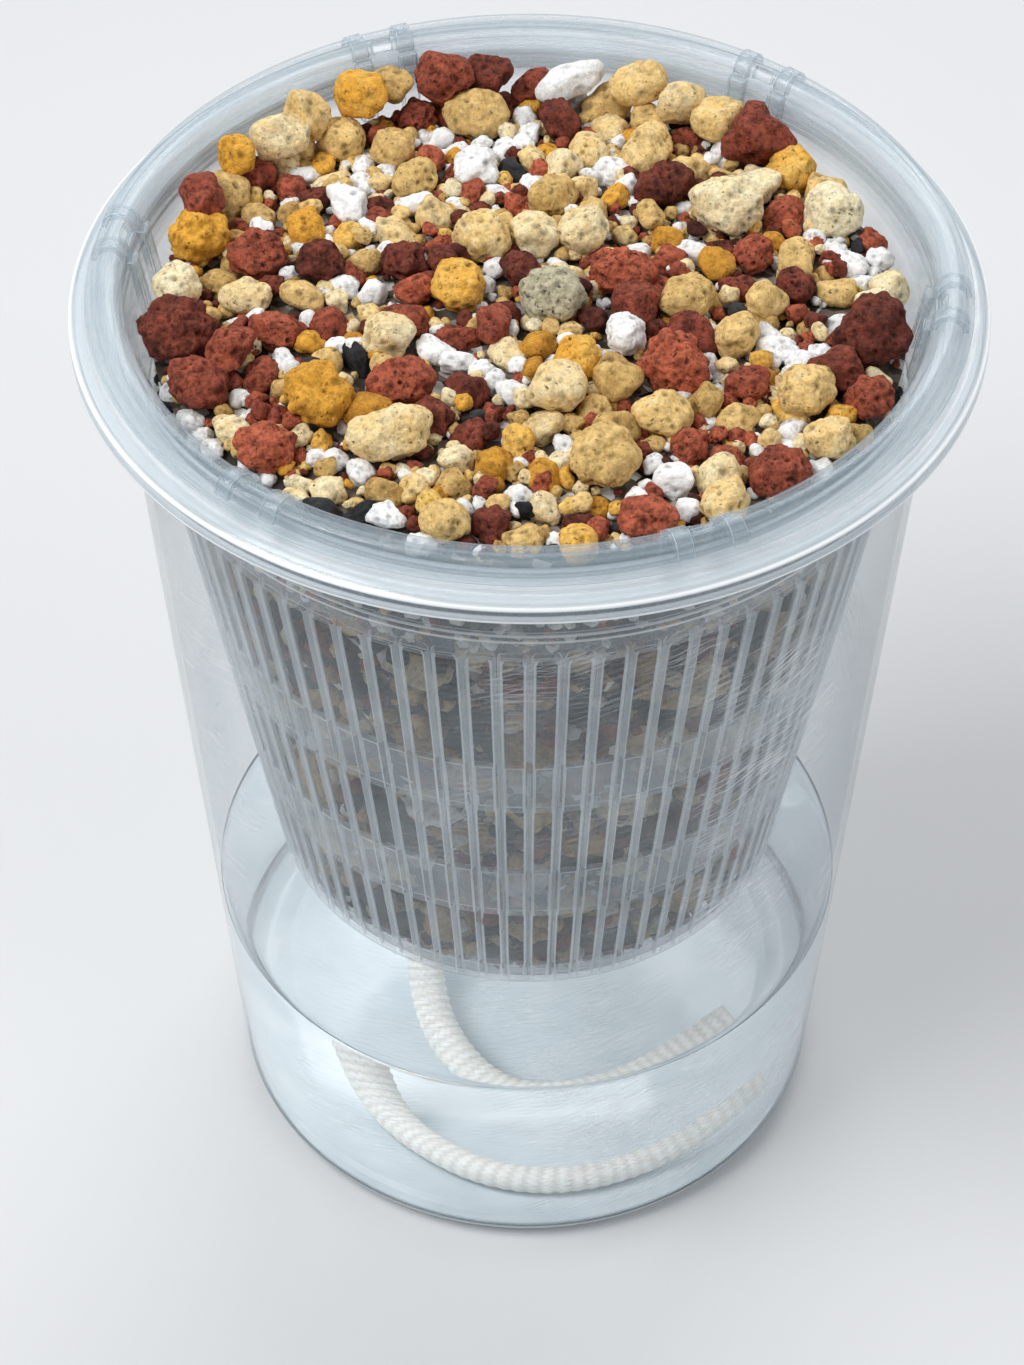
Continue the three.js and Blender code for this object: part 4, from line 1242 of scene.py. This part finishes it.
# Grains: how many are tried, their least, greatest and commonest half length in mm, then shares of it
GRAIN_TRIES = 3000
GRAIN_HALF = (0.5, 1.9, 0.8)
GRAIN_LIFT = (0.2, 1.3)
GRAIN_CLEAR = 0.85
GRAIN_APART = 0.3
GRAIN_SLIMNESS = (0.7, 1)
GRAIN_FINENESS = 3
GRAIN_SHARES = {"white_perlite": 0.20, "tan_pumice": 0.40, "ochre_pumice": 0.08, "red_lava": 0.30,
                "charcoal": 0.02}


def make_grains(stone_places, stone_sizes):
    """Small grains on the mix, wherever the stones leave room for them."""
    own = random.Random("grains")
    grains = {kind: [] for kind in GRAIN_SHARES}
    for _ in range(GRAIN_TRIES):
        half = own.triangular(*GRAIN_HALF) * MM
        where = on_mix(own, half, GRAIN_LIFT)
        kind = pick_kind(own, GRAIN_SHARES)
        tone = own.random()
        if room(where, stone_places, stone_sizes, GRAIN_CLEAR) > GRAIN_APART * half:
            grains[kind].append((where, half, half * own.uniform(*GRAIN_SLIMNESS), tone))
    scatter_kinds("grains", grains, GRAIN_FINENESS, STONE_LOOKS)


# Potting mix: a dark gritty body, with stones and grit against the slots and fine grit under the rim

MIX_SETBACK = 3.4 * MM
MIX_SHOULDER = 3 * MM
MIX_STEPS = 144
MIX_ROWS = 40
MIX_RINGS = 24
MIX_LUMPS = 4 * MM
MIX_NOISE = (1.0, 2.0, 3)
MIX_WALL_ROUGH = 0.012
MIX_TOP_ROUGH = 0.5 * MM
MIX_TOP_SHARE = 0.6
CHUNK_SHARES = {"tan_pumice": 0.44, "ochre_pumice": 0.04, "red_lava": 0.28, "charcoal": 0.18,
                "white_perlite": 0.06}
# Half lengths of the chunks in mm, and how much of it lies behind the face that touches the wall
CHUNK_HALF = (4.4, 5.6)
CHUNK_SINK = 0.92
WALL_SLIMNESS = (0.75, 1)
WALL_GRIT = {"charcoal": 0.32, "white_perlite": 0.05, "tan_pumice": 0.33, "red_lava": 0.30}
RIM_GRIT = {"charcoal": 0.46, "white_perlite": 0.3, "tan_pumice": 0.14, "red_lava": 0.1}
CHUNK_LOW = net_bottom + 3.5 * MM
CHUNK_HIGH = net_bottom + sum(RING_HEIGHTS) + sum(SLOT_HEIGHTS) + 1 * MM
CHUNK_CREST = 1.3 * MM
GRIT_LOW = net_bottom + NET_WALL + CONTENT_GAP + 1.6 * MM
# Rows of grit: their spacing in mean half lengths, and how far grains stray from their place
GRIT_ROW = 1.7
GRIT_JITTER = 0.4
GRIT_FINENESS = 2
GRIT_BANDS = {
    # name: kinds, lowest and highest place, least and greatest half length, set-back, looks
    "wall_grit": (WALL_GRIT, GRIT_LOW, CHUNK_HIGH, 1.1 * MM, 1.9 * MM, 2.4 * MM, DAMP_LOOKS),
    "foot_grit": (WALL_GRIT, net_bottom + 2.3 * MM, net_bottom + 4.6 * MM, 1.0 * MM, 1.5 * MM, 0.3 * MM,
                  DAMP_LOOKS),
    "rim_grit": (RIM_GRIT, CHUNK_HIGH, mix_edge - 3.2 * MM, 0.6 * MM, 1.4 * MM, 0.4 * MM, STONE_LOOKS),
}


def make_mix():
    """The dark body of the mix, uneven on its wall and top."""
    bottom = net_bottom + NET_WALL + CONTENT_GAP
    shoulder = mix_edge - MIX_SHOULDER
    wall = [bottom + (shoulder - bottom) * i / MIX_ROWS for i in range(MIX_ROWS + 1)]
    top = [mix_radius * (1 - i / MIX_RINGS) for i in range(MIX_RINGS + 1)]
    outline = [(0, bottom), *[(net_inner(z) - MIX_SETBACK, z) for z in wall], *[(r, mix_edge) for r in top]]
    verts, faces = revolve(outline, MIX_STEPS)
    rough = []
    for x, y, z in verts:
        uneven = noise.fractal(Vector((x, y, z)) / MIX_LUMPS, *MIX_NOISE)
        if z > shoulder:
            rough.append((x, y, mix_top(x, y) + STONE_BED * MIX_TOP_SHARE + MIX_TOP_ROUGH * uneven))
        else:
            share = 1 + MIX_WALL_ROUGH * uneven
            rough.append((x * share, y * share, z))
    mix = add_piece("mix_body", rough, faces, mix_look, "insert", "potting_mix")
    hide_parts("potting_mix")


def make_chunks():
    """A stone at each chunk that the solid mix presses against the net cup's wall."""
    own = random.Random("chunks")
    grains = {kind: [] for kind in CHUNK_SHARES}
    bm = solid_mix()
    for vert in bm.verts:
        x, y, z = vert.co
        reach = math.hypot(x, y)
        if not CHUNK_LOW < z < CHUNK_HIGH or reach < net_inner(z) - CONTENT_GAP - CHUNK_CREST:
            continue
        half = own.uniform(*CHUNK_HALF) * MM
        share = 1 - CHUNK_SINK * half / reach
        where = (x * share, y * share, z)
        kind = pick_kind(own, CHUNK_SHARES)
        grains[kind].append((where, half, half * own.uniform(*WALL_SLIMNESS), own.random()))
    bm.free()
    scatter_kinds("chunks", grains, LOOSE_FINENESS, DAMP_LOOKS)


def line_wall(name, shares, low, high, half_low, half_high, setback, looks):
    """Grit in rows against the inside of the net cup's wall, between two heights."""
    own = random.Random(name)
    grains = {kind: [] for kind in shares}
    row = GRIT_ROW * (half_low + half_high) / 2
    z = low
    while z < high:
        count = int(FULL_TURN * net_inner(z) / row)
        for i in range(count):
            half = own.uniform(half_low, half_high)
            bearing = FULL_TURN * (i + own.uniform(-GRIT_JITTER, GRIT_JITTER)) / count
            height = min(max(z + own.uniform(-GRIT_JITTER, GRIT_JITTER) * row, low), high)
            reach = net_inner(height) - CONTENT_GAP - setback * own.random() - CHIP_FREE * half
            where = (*at_bearing(bearing, reach), height)
            kind = pick_kind(own, shares)
            grains[kind].append((where, half, half * own.uniform(*WALL_SLIMNESS), own.random()))
        z += row
    scatter_kinds(name, grains, GRIT_FINENESS, looks)


make_mix()
make_chunks()
for band_name, band in GRIT_BANDS.items():
    line_wall(band_name, *band)
make_grains(*make_loose_stones(*make_solid_stones()))


# Stage: pale floor, soft lamps and a pale surround

FLOOR_COLOUR = (0.64, 0.65, 0.66, 1)
SURROUND = (0.70, 0.72, 0.74)
SURROUND_LIGHT = (0.33, 0.34, 0.355)
FLOOR_HALF = 4
FLOOR_NEAR = 0.2
FLOOR_FAR = 0.7
LAMP_AIM = Vector((0, 0, 0.08))
LAMPS = [
    # name, place, size, watts
    ("key", (-0.55, -0.25, 0.95), 0.6, 9),
    ("fill", (0.8, -0.5, 0.7), 0.9, 3),
    ("back", (0.15, 0.75, 0.8), 0.7, 5.5),
]


def seen_directly(tree):
    """1 for light that the camera sees, straight or by gloss or glass."""
    path = node(tree, "LightPath").outputs
    kinds = ("Is Camera Ray", "Is Glossy Ray", "Is Transmission Ray")
    return maths(tree, "MAXIMUM", *[path[kind] for kind in kinds])


def pale_floor():
    """Matt floor that takes the pot's shadow, and further off fades to the colour of the surround."""
    made, tree, shader = principled("pale_floor", {"Base Color": FLOOR_COLOUR, "Roughness": 0.7})
    away = node(tree, "VectorMath", {0: place(tree)}, operation="LENGTH").outputs["Value"]
    far = maths(tree, "MULTIPLY", levels(tree, away, FLOOR_NEAR, FLOOR_FAR), seen_directly(tree))
    glow = node(tree, "Emission", {"Color": (*SURROUND, 1)}).outputs[0]
    mix_surface(tree, far, shader, glow)
    return made


def make_stage():
    """Floor, lamps and surround."""
    data = bpy.data.meshes.new("floor")
    corners = [(x * FLOOR_HALF, y * FLOOR_HALF, 0) for x, y in ((-1, -1), (1, -1), (1, 1), (-1, 1))]
    data.from_pydata(corners, [], [(0, 1, 2, 3)])
    data.materials.append(pale_floor())
    floor = bpy.data.objects.new("floor", data)
    bpy.context.scene.collection.objects.link(floor)
    for name, where, size, watts in LAMPS:
        lamp = bpy.data.lights.new(name, "AREA")
        lamp.size = size
        lamp.energy = watts
        holder = bpy.data.objects.new(name, lamp)
        holder.location = where
        holder.rotation_euler = (LAMP_AIM - Vector(where)).to_track_quat("-Z", "Y").to_euler()
        bpy.context.scene.collection.objects.link(holder)
    world = bpy.data.worlds.new("surround")
    bpy.context.scene.world = world
    world.use_nodes = True
    tree = world.node_tree
    shown = blend(tree, seen_directly(tree), SURROUND_LIGHT, SURROUND)
    tree.links.new(shown, tree.nodes["Background"].inputs["Color"])


make_stage()
bpy.context.scene.view_settings.view_transform = "Standard"
